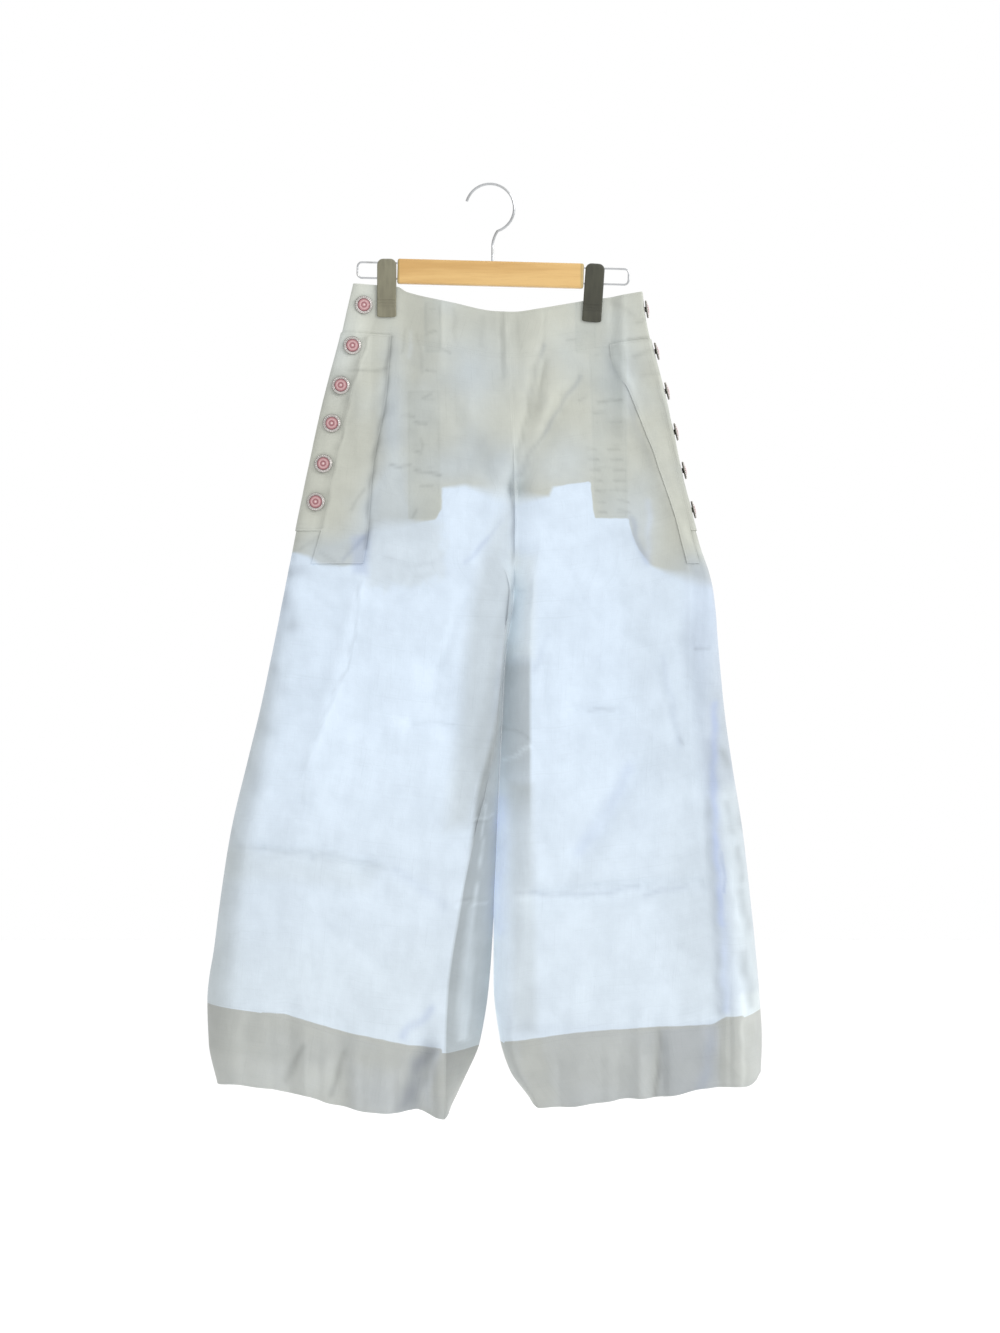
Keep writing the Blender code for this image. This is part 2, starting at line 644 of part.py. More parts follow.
def make_buttons(surfaces):
    """Six buttons a side, the first on the waistband, the others on the button strip."""
    start = sum(FRONT_CELLS) - FRONT_CELLS.side
    sides = (
        ("left", LEFT_BUTTON_DROPS, LEFT_BUTTON_COLUMN),
        ("right", RIGHT_BUTTON_DROPS, RIGHT_BUTTON_COLUMN),
    )
    for side, drops, column in sides:
        surface = surfaces[side]
        for number, drop in enumerate(drops, start=1):
            under = 0.0 if number == 1 else LAY_GAP + STRIP_CLOTH
            centre, out = place_on(surface, start + column, drop, 0.0)
            lift = seat_height(surface, centre, out) + under + LAY_GAP
            name = f"button_{side}_{number}"
            finish = material(name, (0.45, 0.22, 0.22, 1.0), 0.35)
            button = add_object(name, button_mesh(), finish)
            button.location = (centre + out * lift) * MM
            button.rotation_euler = out.to_track_quat("Z", "Y").to_euler()


# ---------------------------------------------------------------- hanger
def extruded(name, outline, width, finish, bevel, segments):
    """An outline in the YZ plane, extruded along X about the middle, with rounded edges."""
    bm = bmesh.new()
    verts = [bm.verts.new((-width / 2 * MM, y * MM, z * MM)) for y, z in outline]
    face = bm.faces.new(verts)
    grown = bmesh.ops.extrude_face_region(bm, geom=[face])
    moved = [part for part in grown["geom"] if isinstance(part, bmesh.types.BMVert)]
    bmesh.ops.translate(bm, verts=moved, vec=(width * MM, 0, 0))
    bmesh.ops.recalc_face_normals(bm, faces=bm.faces)
    mesh = bpy.data.meshes.new(name)
    bm.to_mesh(mesh)
    bm.free()
    thing = add_object(name, mesh, finish)
    rounding = thing.modifiers.new("rounding", "BEVEL")
    rounding.width = bevel * MM
    rounding.segments = segments
    rounding.limit_method = "ANGLE"
    rounding.angle_limit = math.radians(50)
    return thing


def clip_outline():
    """The clip from the side: an upside-down U whose jaws close on the cloth."""
    jaw = PRESSED_HALF + LAY_GAP
    half = (
        (0.0, 0.0), (3.5, -0.2), (5.6, -1.4), (CLIP_CAVITY_HALF + CLIP_JAW_WALL, -4.0),
        (CLIP_CAVITY_HALF + CLIP_JAW_WALL, -CLIP_JAW_START + CLIP_JAW_TURN),
        (jaw + CLIP_JAW_WALL, -CLIP_HEIGHT + CLIP_LIP), (jaw + CLIP_JAW_WALL - 1.0, -CLIP_HEIGHT),
        (jaw + 1.0, -CLIP_HEIGHT), (jaw, -CLIP_HEIGHT + CLIP_LIP),
        (jaw, -CLIP_JAW_START - CLIP_JAW_TURN - 2.0),
        (CLIP_CAVITY_HALF, -CLIP_JAW_START), (CLIP_CAVITY_HALF, -CLIP_TOP_WALL - 1.0),
        (CLIP_CAVITY_HALF - 1.0, -CLIP_TOP_WALL),
    )
    mirrored = [(-y, z) for y, z in reversed(half[1:])]
    return list(half) + mirrored


def wire(name, points, diameter, finish):
    """A bent round wire through points in millimetres."""
    curve = bpy.data.curves.new(name, "CURVE")
    curve.dimensions = "3D"
    curve.bevel_depth = diameter / 2 * MM
    curve.bevel_resolution = 2
    curve.use_fill_caps = True
    spline = curve.splines.new("POLY")
    spline.points.add(len(points) - 1)
    for target, point in zip(spline.points, points):
        target.co = (point[0] * MM, point[1] * MM, point[2] * MM, 1.0)
    curve.materials.append(finish)
    thing = bpy.data.objects.new(name, curve)
    bpy.context.scene.collection.objects.link(thing)
    return thing


def arc(centre_x, centre_z, radius, start, end, steps):
    """Points on an arc in the plane of the hanger, angles in degrees."""
    points = []
    for i in range(steps + 1):
        angle = math.radians(mix(start, end, i / steps))
        points.append((centre_x + radius * math.cos(angle), 0.0,
                       centre_z + radius * math.sin(angle)))
    return points


def hook_points(stem_bottom):
    """The hook's wire from its tip over the top and back in to the stem."""
    centre_z = -(HOOK_RADIUS - HOOK_WIRE / 2)
    points = arc(0.0, centre_z, HOOK_RADIUS, HOOK_TIP_ANGLE, HOOK_END_ANGLE, 24)
    end_x, _, end_z = points[-1]
    neck_end = end_z - HOOK_NECK
    for i in range(1, 7):
        t = i / 6
        s = t * t * (3 - 2 * t)
        points.append((mix(end_x, HOOK_STEM_X, math.sin(t * math.pi / 2)), 0.0,
                       mix(end_z, neck_end, mix(t, s, 0.3))))
    points.append((HOOK_STEM_X, 0.0, stem_bottom))
    return points


def rail_points(side, reach):
    """A rail's wire in the bar's frame: out of the bar's end, round and back in."""
    start = BAR_LENGTH / 2 + LAY_GAP
    end = start + reach - RAIL_WIRE / 2
    inside = end - RAIL_CORNER
    points = [(start, 0.0, RAIL_UP)]
    points += arc(inside, RAIL_UP - RAIL_CORNER, RAIL_CORNER, 90, 0, 4)
    points += arc(inside, RAIL_DOWN + RAIL_CORNER, RAIL_CORNER, 0, -90, 4)
    points.append((start, 0.0, RAIL_DOWN))
    return [(side * x, y, z) for x, y, z in points]


def make_hanger():
    """The wooden bar with its hook and rails, tilted as it hangs, and the two clips."""
    steel = material("polished_wire", (0.80, 0.80, 0.80, 1.0), 0.2, 1.0)
    tilt = math.radians(BAR_TILT)
    frame = bpy.data.objects.new("hanger", None)
    frame.location = (BAR_CENTRE_X * MM, 0.0, -BAR_CENTRE_DROP * MM)
    frame.rotation_euler = (0.0, tilt, 0.0)
    bpy.context.scene.collection.objects.link(frame)

    half_y = BAR_THICKNESS / 2
    half_z = BAR_HEIGHT / 2
    section = [(-half_y, -half_z), (half_y, -half_z), (half_y, half_z), (-half_y, half_z)]
    wood = material("hanger_wood", (0.74, 0.48, 0.17, 1.0), 0.45)
    bar = extruded("hanger_bar", section, BAR_LENGTH, wood, BAR_BEVEL, 2)
    bar.parent = frame
    for name, side, reach in (("rail_left", -1, RAIL_REACH_LEFT), ("rail_right", 1, RAIL_REACH_RIGHT)):
        rail = wire(name, rail_points(side, reach), RAIL_WIRE, steel)
        rail.parent = frame

    run_down = (HOOK_STEM_X - BAR_CENTRE_X) * math.tan(tilt)
    bar_top = -BAR_CENTRE_DROP + BAR_HEIGHT / 2 / math.cos(tilt) - run_down
    wire_rise = HOOK_WIRE / 2 * math.tan(tilt)
    wire("hook", hook_points(bar_top + wire_rise + LAY_GAP), HOOK_WIRE, steel)

    for clip in CLIPS:
        plastic = material(clip.name, clip.colour, 0.4)
        thing = extruded(clip.name, clip_outline(), CLIP_WIDTH, plastic, CLIP_EDGE_BEVEL, 1)
        thing.location = (clip.across * MM, 0.0, -clip.top * MM)
        thing.rotation_euler = (0.0, math.radians(clip.lean), 0.0)


def main():
    for thing in list(bpy.data.objects):
        bpy.data.objects.remove(thing, do_unlink=True)
    surfaces = leg_surfaces()
    make_cloth(surfaces)
    make_buttons(surfaces)
    make_hanger()


main()
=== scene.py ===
import math
from collections import namedtuple

import bmesh
import bpy
import numpy as np
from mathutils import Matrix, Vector


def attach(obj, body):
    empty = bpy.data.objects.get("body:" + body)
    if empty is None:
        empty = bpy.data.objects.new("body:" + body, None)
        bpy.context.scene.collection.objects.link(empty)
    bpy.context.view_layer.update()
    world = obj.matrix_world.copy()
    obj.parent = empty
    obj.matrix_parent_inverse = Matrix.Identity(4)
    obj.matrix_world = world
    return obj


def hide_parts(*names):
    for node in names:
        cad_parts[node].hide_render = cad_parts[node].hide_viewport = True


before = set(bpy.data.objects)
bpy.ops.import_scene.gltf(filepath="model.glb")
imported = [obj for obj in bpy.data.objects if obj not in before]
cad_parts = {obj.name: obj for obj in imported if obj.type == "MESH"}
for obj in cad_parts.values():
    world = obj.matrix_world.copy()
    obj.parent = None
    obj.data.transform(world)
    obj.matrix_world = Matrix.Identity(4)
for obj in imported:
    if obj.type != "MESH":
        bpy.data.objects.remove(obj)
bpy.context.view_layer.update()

MM = 0.001
BODY = "root"

# ---------------------------------------------------------------- sizes shared with the solids
SHELL = 0.8                 # thickness of a single cloth shell
DOUBLE_SHELL = 1.6
INNER_SHELL = 0.5
STRIP_SHELL = 1.1
SEAM_GAP = 0.04
LAY_GAP = 0.25
LEG_GAP = 0.15

WAIST_TOP = 114.0
WAIST_SEAM = 171.0
CROTCH_TURN = 365.0
CROTCH = 468.0
HEM_SEAM = 944.0
HEM_BOTTOM = 1037.0
STRIP_END = 400.0
LAP_END = 438.0
FACING_TOP = 190.0
FACING_END = 352.0
HOLE_STRIP_END = 376.0
BAG_END = 462.0
KEY_LEVELS = (
    WAIST_TOP, WAIST_SEAM, FACING_TOP, FACING_END, CROTCH_TURN, HOLE_STRIP_END, STRIP_END,
    LAP_END, BAG_END, CROTCH, HEM_SEAM, HEM_BOTTOM,
)
ROW_STEP = 3.1              # spacing of the rows down the cloth


def table(row, *rows):
    """Rows of numbers under named columns."""
    return tuple(row(*numbers) for numbers in rows)


def outlined(row, *rows):
    """The same, where the last column holds all the places that follow the numbers."""
    count = len(row._fields) - 1
    return tuple(row(*numbers[:count], numbers[count:]) for numbers in rows)


Outline = namedtuple("Outline", "drop outer corner lap fold inner")
LEFT_OUTLINE = table(
    Outline,
    (114, -158, -130, -107, -14, 19.5),
    (146, -165.5, -132, -108.5, -13, 20.5),
    (175, -172, -142.5, -114, -12, 21.8),
    (238, -188.6, -160.5, -118.5, -10, 24.5),
    (330, -209.3, -180, -134, -7.5, 27.8),
    (400, -223.5, -194.5, -139.5, -2, 28.7),
    (468, -237, -214, -150.5, 22, 27.6),
    (550, -253.5, -236, -163, 13.5, 17.5),
    (610, -266.5, -247, -186, 8.5, 14.3),
    (663, -279.5, -257.5, -209, 2.5, 11.7),
    (745, -299, -275, -223, -19.5, 7.5),
    (818, -310.5, -284, -230, -37, 4),
    (881, -318.5, -290, -231.5, -48, -1.2),
    (944, -326.5, -294.5, -232.5, -50.5, -12.5),
    (990, -325, -293, -232, -50.5, -29),
    (1037, -315, -289, -230, -52, -45.5),
)
RIGHT_OUTLINE = table(
    Outline,
    (114, 176, 169, 137, 57.5, 19.5),
    (146, 180, 174.5, 137, 58, 20.5),
    (175, 186, 179.5, 138.5, 58.5, 21.8),
    (238, 201, 194, 160, 60, 24.5),
    (330, 220, 214, 193, 63, 27.8),
    (400, 237, 230, 216, 60, 28.7),
    (468, 257.5, 245, 229, 49.5, 27.6),
    (550, 265, 245.5, 228, 46, 17.5),
    (610, 271, 246, 228, 46, 14.3),
    (663, 278.5, 247.5, 229, 46, 11.7),
    (745, 292, 256.5, 238, 46, 7.5),
    (818, 300.5, 269, 248, 41.5, 4),
    (881, 307, 279.5, 255, 33, 4),
    (944, 312, 290, 261, 27, 11.5),
    (990, 314, 293, 263, 36, 23),
    (1037, 312.5, 295.5, 261, 56, 47),
)

Depth = namedtuple("Depth", "drop fold lap corner back seam side inside")
LEFT_DEPTH = table(
    Depth,
    (114, 12, 9, 8, 0.75, 0, 5, 1.2),
    (171, 19, 13, 10, 0.85, 0, 5, 1.2),
    (238, 26, 19, 13, 0.9, 0, 5, 1.2),
    (330, 33, 25, 17, 0.95, 0, 4.5, 1.2),
    (400, 37, 30, 21, 0.95, 0, 4, 1.2),
    (468, 40, 35, 26, 0.95, 0, 3, 1.3),
    (550, 42, 40, 32, 0.95, 0, 2, 1.4),
    (663, 44, 44, 38, 0.92, 0, 1.5, 1.3),
    (818, 46, 46, 42, 0.92, 0, 1.4, 1.1),
    (944, 48, 48, 44, 0.9, 0, 1.5, 1.1),
    (1037, 42, 42, 38, 0.88, 0, 1.8, 1.3),
)
RIGHT_DEPTH = table(
    Depth,
    (114, 12, 11, 13, 0.75, 6, 5, 1.2),
    (171, 19, 15, 15, 0.85, 8, 5, 1.2),
    (238, 26, 21, 18, 0.9, 9, 5, 1.2),
    (330, 33, 27, 21, 0.95, 9, 4.5, 1.2),
    (400, 37, 33, 26, 0.95, 8, 4, 1.2),
    (468, 40, 38, 33, 0.95, 4, 3, 1.3),
    (550, 42, 42, 38, 0.95, 0, 2, 1.4),
    (663, 44, 45, 42, 0.92, 0, 1.5, 1.3),
    (818, 46, 47, 45, 0.92, 0, 1.4, 1.5),
    (944, 48, 48, 46, 0.9, 0, 1.5, 1.8),
    (1037, 42, 42, 38, 0.88, 0, 1.8, 1.8),
)
BACK_SLOPE = 0.6

Edge = namedtuple("Edge", "across drop")
WAIST_EDGE = table(
    Edge,
    (-158, 114), (-107, 117.5), (-96, 123.5), (-41, 137), (6, 146.5), (27, 147.2), (56, 143.5),
    (107, 134), (137, 130), (176, 123.8),
)
LEFT_HEM_SEAM = table(
    Edge,
    (-326, 944), (-237, 956), (-164, 978.5), (-92, 993.5), (-50, 998), (-12, 992.5),
)
LEFT_HEM_EDGE = table(
    Edge,
    (-315, 1037), (-295, 1035.5), (-209, 1049), (-164, 1061.5), (-123, 1068), (-87, 1064),
    (-52, 1075), (-45, 1066),
)
RIGHT_HEM_SEAM = table(
    Edge,
    (11, 987), (27, 989), (90, 979), (193, 972), (261, 967), (290, 957.5), (312, 951),
)
RIGHT_HEM_EDGE = table(
    Edge,
    (47, 1056), (56, 1061.5), (148, 1053), (198, 1049), (247, 1040), (295, 1037), (312, 1023.5),
)
BACK_EDGE_RISE = 6.0
WAIST_SLOPE_END = 330.0
HEM_SLOPE_START = 640.0
HEM_FOLDS_START = 880.0     # folds that start below this drop swell out of the plain cloth
HEM_RIPPLE = 0.9

Clip = namedtuple("Clip", "name across top lean colour streak")
CLIPS = (
    Clip("clip_left", -119.3, 85.0, 0.0, (0.215, 0.205, 0.140, 1.0), (0.165, 0.155, 0.105, 1.0)),
    Clip("clip_right", 121.8, 90.6, 4.0, (0.050, 0.050, 0.032, 1.0), (0.034, 0.034, 0.022, 1.0)),
)
CLIP_HALF_GRIP = 16.0
PRESSED_HALF = 1.5
PRESS_END = 158.0
PRESS_FADE_END = 330.0
PRESS_FADE_IN = 48.0
PRESS_FADE_OUT = 18.0

# How many cells of the shell each zone of a panel has, from the inner to the side seam.
Zones = namedtuple("Zones", "inner face lap side")
FRONT_ZONES = Zones(12, 70, 18, 16)
BACK_ZONES = Zones(12, 48, 14, 12)
FRONT_COLUMNS = sum(FRONT_ZONES)
BACK_COLUMNS = sum(BACK_ZONES)
FACING_START = 4            # the column where a facing starts
HOLE_STRIP_START = 28       # columns past the inner fold where a buttonhole strip lies
HOLE_STRIP_LAST = 42
EASED_COLUMNS = 5.0         # how far the softened side folds reach
EASING_PASSES = 14
NO_RIM = 99.0               # millimetres, for a tube that has no side edge

Leg = namedtuple("Leg", "name sign outline depth hem_seam hem_edge")
LEFT = Leg("left", -1, LEFT_OUTLINE, LEFT_DEPTH, LEFT_HEM_SEAM, LEFT_HEM_EDGE)
RIGHT = Leg("right", 1, RIGHT_OUTLINE, RIGHT_DEPTH, RIGHT_HEM_SEAM, RIGHT_HEM_EDGE)

# ---------------------------------------------------------------- folds and creases
# From (x0, drop0) to (x1, drop1); width is the half width; height is positive for a ridge.
# What follows the solids' own folds are finer creases, which only the shells have.
Fold = namedtuple("Fold", "x0 drop0 x1 drop1 width height")
FRONT_FOLDS = table(
    Fold,
    # as in the solids
    (65, 195, 30, 350, 11, -4.5),
    (105, 222, 31, 352, 12, -5),
    (84, 205, 40, 330, 11, 3),
    (-64, 230, 10, 356, 15, -3),
    (30, 352, 28, 500, 12, -3),
    (131, 180, 186, 310, 13, 4.5),
    (186, 310, 236, 425, 11, 3.5),
    (-94, 175, -74, 330, 14, 2),
    (-148, 455, -209, 670, 9, 2.2),
    (-60, 560, -22, 730, 20, -4),
    (-296, 762, -146, 786, 15, -5),
    (-146, 786, -62, 800, 14, -3),
    (48, 822, 240, 806, 15, -6),
    (171, 674, 85, 800, 20, -4),
    (97, 606, 144, 606, 11, -2.5),
    (-88, 622, -42, 622, 11, -2.5),
    (238, 535, 247, 680, 12, 3),
    (-232, 905, -231, 1050, 12, -6),
    (-171, 935, -167, 1065, 12, -7),
    (-78, 925, -76, 1070, 13, -10),
    (-122, 960, -120, 1068, 12, 3.5),
    (158, 935, 156, 1052, 12, -6),
    (188, 925, 190, 1048, 12, -8),
    (262, 885, 262, 1040, 11, -9),
    (100, 960, 102, 1056, 14, 3),
    # pressed lines at the centre front
    (12.5, 150, 14, 222, 2.5, -0.9),
    (17.5, 150, 18, 235, 2.5, 0.9),
    (34.5, 150, 34, 240, 2.5, -0.9),
    (39, 150, 39, 225, 2.5, 0.7),
    (63, 148, 58, 205, 3, -0.8),
    (1, 148, 3, 200, 3, -0.7),
    (-76, 138, -74, 195, 2.5, -0.8),
    (-56, 140, -55, 190, 2.5, 0.8),
    (98, 138, 100, 190, 2.5, -0.8),
    (123, 168, 122, 200, 2.5, 0.8),
    # sharp middles of the drag lines
    (64, 205, 35, 300, 3.5, -1.6),
    (104, 228, 36, 336, 3.5, -1.8),
    (28, 356, 27, 470, 3, -1.2),
    # the pressed crease, broken and uneven
    (-148, 458, -155, 520, 2.5, 0.7),
    (-157, 525, -168, 562, 2.5, 0.8),
    (-174, 582, -198, 634, 2.5, 0.6),
    (-205, 655, -214, 676, 3, 0.4),
    # across the left leg
    (-303, 765, -262, 764, 4, -1.6),
    (-262, 764, -205, 775, 3.5, -1.8),
    (-205, 775, -146, 787, 4, -1.4),
    (-138, 780, -70, 806, 5, -0.9),
    (-88, 620, -43, 623, 3, -1),
    (-140, 560, -100, 556, 4, -0.6),
    (-250, 700, -210, 712, 4, -0.7),
    (-190, 850, -120, 905, 7, -0.9),
    (-210, 470, -180, 492, 4, -0.8),
    # across the right leg
    (50, 820, 120, 809, 4, -1.8),
    (120, 809, 178, 808, 4, -1.5),
    (178, 808, 240, 804, 4.5, -1.2),
    (97, 607, 144, 604, 3, -1.1),
    (234, 537, 238, 534, 4, -0.8),
    (214, 532, 238, 531, 2.5, -1),
    (168, 680, 130, 742, 7, -1.3),
    (130, 742, 92, 792, 8, -1.2),
    (112, 880, 190, 850, 7, -0.9),
    (190, 560, 212, 640, 5, -0.8),
    (60, 545, 66, 640, 5, -0.8),
    (120, 500, 186, 540, 7, -0.8),
    # below the left pocket
    (-60, 430, -110, 480, 5, -0.9),
    (-30, 480, -60, 560, 6, -1.1),
    # gathers of the left hem
    (-250, 920, -249, 1040, 4.5, -1.5),
    (-212, 955, -211, 1046, 4, 1.6),
    (-196, 960, -195, 1050, 4.5, -1.6),
    (-146, 975, -146, 1060, 4, -1.4),
    (-104, 985, -103, 1064, 4, 1.8),
    (-90, 975, -84, 1064, 3.5, -2.6),
    (-66, 990, -64, 1068, 3.5, -2),
    # gathers of the right hem
    (78, 985, 80, 1058, 4, -1.4),
    (128, 980, 128, 1052, 4.5, -1.4),
    (150, 968, 148, 1050, 3.5, -2.4),
    (172, 965, 172, 1048, 4, 1.6),
    (198, 960, 200, 1046, 3.5, -2.4),
    (274, 900, 276, 1036, 3.5, -2),
)
BACK_FOLDS = table(
    Fold,
    # as in the solids
    (-60, 190, 20, 400, 14, -4),
    (95, 200, 30, 400, 14, -4),
    (-250, 800, -90, 770, 16, -5),
    (70, 770, 240, 800, 16, -5),
    (-200, 600, -120, 720, 18, -4),
    (190, 560, 120, 700, 18, -4),
    (-240, 920, -238, 1050, 14, -6),
    (-130, 925, -128, 1060, 14, -8),
    (120, 925, 122, 1050, 14, -7),
    (215, 905, 214, 1040, 14, -8),
    # finer creases
    (-90, 620, -30, 640, 4, -1.2),
    (90, 590, 150, 600, 4, -1.2),
    (-240, 798, -160, 786, 4, -1.6),
    (80, 772, 160, 786, 4, -1.6),
    (30, 180, 31, 330, 3, -0.8),
    (-215, 940, -214, 1044, 4, -1.8),
    (-170, 950, -168, 1050, 4, 1.6),
    (-90, 960, -88, 1058, 4, -2),
    (90, 960, 92, 1050, 4, -1.8),
    (165, 950, 166, 1042, 4, 1.8),
    (245, 930, 246, 1036, 4, -1.8),
)


# ---------------------------------------------------------------- reading the tables
def along(rows, column, place, key="drop"):
    """A column of a table at an array of places, on a smooth curve that never overshoots."""
    keys = np.array([getattr(row, key) for row in rows], float)
    values = np.array([getattr(row, column) for row in rows], float)
    place = np.clip(np.asarray(place, float), keys[0], keys[-1])
    slopes = np.diff(values) / np.diff(keys)
    before, after = slopes[:-1], slopes[1:]
    same = before * after > 0
    middle = np.where(same, 2 * before * after / np.where(same, before + after, 1.0), 0.0)
    tangents = np.concatenate(([slopes[0]], middle, [slopes[-1]]))
    k = np.clip(np.searchsorted(keys, place, side="right") - 1, 0, len(keys) - 2)
    span = keys[k + 1] - keys[k]
    t = (place - keys[k]) / span
    a = (1 + 2 * t) * (1 - t) ** 2 * values[k] + t * (1 - t) ** 2 * span * tangents[k]
    b = t * t * (3 - 2 * t) * values[k + 1] - t * t * (1 - t) * span * tangents[k + 1]
    return a + b


def fade(value, start, end):
    """1 at the start, 0 at the end, smooth in between."""
    t = np.clip((value - start) / (end - start), 0.0, 1.0)
    return 1 - t * t * (3 - 2 * t)


def mix(a, b, t):
    """From a at 0 to b at 1."""
    return a + (b - a) * t


# ---------------------------------------------------------------- the surface of a leg
def levels_of_rows():
    """Levels of the rows, the key levels among them."""
    levels = []
    for top, bottom in zip(KEY_LEVELS, KEY_LEVELS[1:]):
        count = max(1, math.ceil((bottom - top) / ROW_STEP))
        levels += [mix(top, bottom, i / count) for i in range(count)]
    return np.array(levels + [KEY_LEVELS[-1]])


LEVELS = levels_of_rows()


def pressed(x, level):
    """How fully a clip presses the cloth flat, from 0 to 1."""
    share = np.zeros(np.broadcast(x, level).shape)
    for clip in CLIPS:
        beyond = (x - clip.across) * math.copysign(1.0, clip.across)
        reach = np.where(beyond > 0, PRESS_FADE_OUT, PRESS_FADE_IN)
        near = fade(np.abs(beyond), CLIP_HALF_GRIP, CLIP_HALF_GRIP + reach)
        share = np.maximum(share, near)
    return share * fade(level, PRESS_END, PRESS_FADE_END)


def plan(leg, front):
    """x and y of one panel from its inner to its side seam, a row for each level."""
    level = LEVELS[:, None]
    count = FRONT_ZONES if front else BACK_ZONES
    face = -1 if front else 1
    share = 1.0 if front else along(leg.depth, "back", level)
    slope = 1.0 if front else mix(BACK_SLOPE, 1.0, fade(level, PRESS_FADE_END, CROTCH))
    line = {name: along(leg.outline, name, level) for name in Outline._fields[1:]}
    deep = {name: share * along(leg.depth, name, level) for name in ("fold", "lap", "corner")}
    seam = along(leg.depth, "seam", level)
    side = 2 / along(leg.depth, "side", level)
    inside = 2 / along(leg.depth, "inside", level)

    inner = line["inner"] + np.where(level >= CROTCH, leg.sign * LEG_GAP / 2, 0.0)
    fold = mix(inner, line["fold"], slope)
    corner = mix(line["outer"], line["corner"], slope)
    turn = np.clip((level - CROTCH_TURN) / (CROTCH - CROTCH_TURN), 0.0, 1.0)
    inner_y = face * np.sqrt(1 - turn * turn) * deep["fold"]

    angle = np.pi / 2 * np.arange(count.inner) / count.inner
    xs = [mix(inner, fold, 1 - np.cos(angle) ** inside)]
    ys = [mix(inner_y, face * deep["fold"], np.sin(angle) ** inside)]
    t = np.arange(count.face) / count.face
    xs.append(mix(fold, line["lap"], t))
    ys.append(face * mix(deep["fold"], deep["lap"], t * t))
    t = np.arange(count.lap) / count.lap
    xs.append(mix(line["lap"], corner, t))
    ys.append(face * mix(deep["lap"], deep["corner"], t))
    angle = np.pi / 2 * np.arange(count.side + 1) / count.side
    xs.append(mix(corner, line["outer"], np.sin(angle) ** side))
    ys.append(mix(seam, face * deep["corner"], np.clip(np.cos(angle), 0.0, 1.0) ** side))
    x = np.concatenate([np.broadcast_to(part, (len(LEVELS), part.shape[1])) for part in xs], 1)
    y = np.concatenate([np.broadcast_to(part, (len(LEVELS), part.shape[1])) for part in ys], 1)
    flat = np.copysign(PRESSED_HALF, y)
    return x, np.where(np.abs(y) > PRESSED_HALF, mix(y, flat, pressed(x, level)), y)


def drop_at(leg, x, front):
    """The true drop: the level, with the sag of the waist and the slope of the hem."""
    level = LEVELS[:, None]
    waist = along(WAIST_EDGE, "drop", x, key="across") - WAIST_TOP
    seam = along(leg.hem_seam, "drop", x, key="across") - HEM_SEAM
    edge = along(leg.hem_edge, "drop", x, key="across") - HEM_BOTTOM
    rise = 0.0 if front else BACK_EDGE_RISE
    below = np.clip((level - HEM_SEAM) / (HEM_BOTTOM - HEM_SEAM), 0.0, 1.0)
    ripple = HEM_RIPPLE * np.sin(x / 9.0) * np.sin(x / 23.0 + 1.0) * below
    slope = mix(seam, edge, below) - rise + ripple
    sag = waist * fade(level, WAIST_TOP, WAIST_SLOPE_END)
    return level + sag + slope * (1 - fade(level, HEM_SLOPE_START, HEM_SEAM))


def ring(leg):
    """Points all round a leg: front from the inner to the side seam, then the back."""
    loops = []
    for front in (True, False):
        x, y = plan(leg, front)
        loops.append(np.stack([x, y, -drop_at(leg, x, front)], axis=-1))
    front_path, back_path = loops
    seam = (front_path[:, -1:] + back_path[:, -1:]) / 2
    return np.concatenate([front_path[:, :-1], seam, back_path[:, -2::-1]], axis=1)


def normals(leg, own, other):
    """Outward directions of a leg's points. Above the crotch the other leg carries on."""
    joined = (LEVELS < CROTCH)[:, None]
    before_first = np.where(joined, other[:, 1], own[:, -2])[:, None]
    after_last = np.where(joined, other[:, -2], own[:, 1])[:, None]
    wide = np.concatenate([before_first, own, after_last], axis=1)
    across = wide[:, 2:] - wide[:, :-2]
    tall = np.concatenate([own[:1], own, own[-1:]], axis=0)
    down = tall[2:] - tall[:-2]
    out = np.cross(across, down) * -leg.sign
    return out / np.linalg.norm(out, axis=-1, keepdims=True)


def off_line(x, drop, x0, drop0, x1, drop1):
    """Distance to a line between two places, and how far along it the nearest point lies."""
    run_x, run_drop = x1 - x0, drop1 - drop0
    t = ((x - x0) * run_x + (drop - drop0) * run_drop) / (run_x**2 + run_drop**2)
    t = np.clip(t, 0.0, 1.0)
    return np.hypot(x - x0 - run_x * t, drop - drop0 - run_drop * t), t


def away_from_seams(width, reach):
    """0 on the seams of a leg, and 1 from so many columns away from them."""
    columns = np.arange(width)
    off = np.minimum(columns, np.minimum(np.abs(columns - FRONT_COLUMNS), width - 1 - columns))
    return np.clip(off / reach, 0.0, 1.0)


def folded(points, outward):
    """A leg's points with its folds. The seams stay where they are."""
    x, drop = points[..., 0], -points[..., 2]
    height = np.zeros(x.shape)
    columns = np.arange(x.shape[1])[None, :]
    for folds, own_side in ((FRONT_FOLDS, columns < FRONT_COLUMNS),
                            (BACK_FOLDS, columns > FRONT_COLUMNS)):
        for fold in folds:
            off, t = off_line(x, drop, fold.x0, fold.drop0, fold.x1, fold.drop1)
            tapered = 1 - fade(t, 0.0, 0.6) if fold.drop0 > HEM_FOLDS_START else 1.0
            height += own_side * tapered * fold.height * np.exp(-((off / fold.width) ** 2))
    face_on = np.clip(np.abs(outward[..., 1]) - 0.5, 0.0, None) * 2
    height *= face_on * (1 - pressed(x, LEVELS[:, None]))
    height *= away_from_seams(x.shape[1], 3)
    return points + outward * height[..., None]


Wave = namedtuple("Wave", "wide tall turn size")
CRUMPLES = table(           # wavelengths across and down the cloth, a turn and a height
    Wave,
    (61.0, 83.0, 0.35, 0.42), (37.0, 52.0, -0.6, 0.26), (23.0, 31.0, 0.9, 0.16),
    (17.0, 45.0, -0.2, 0.12), (95.0, 140.0, 0.15, 0.6),
)


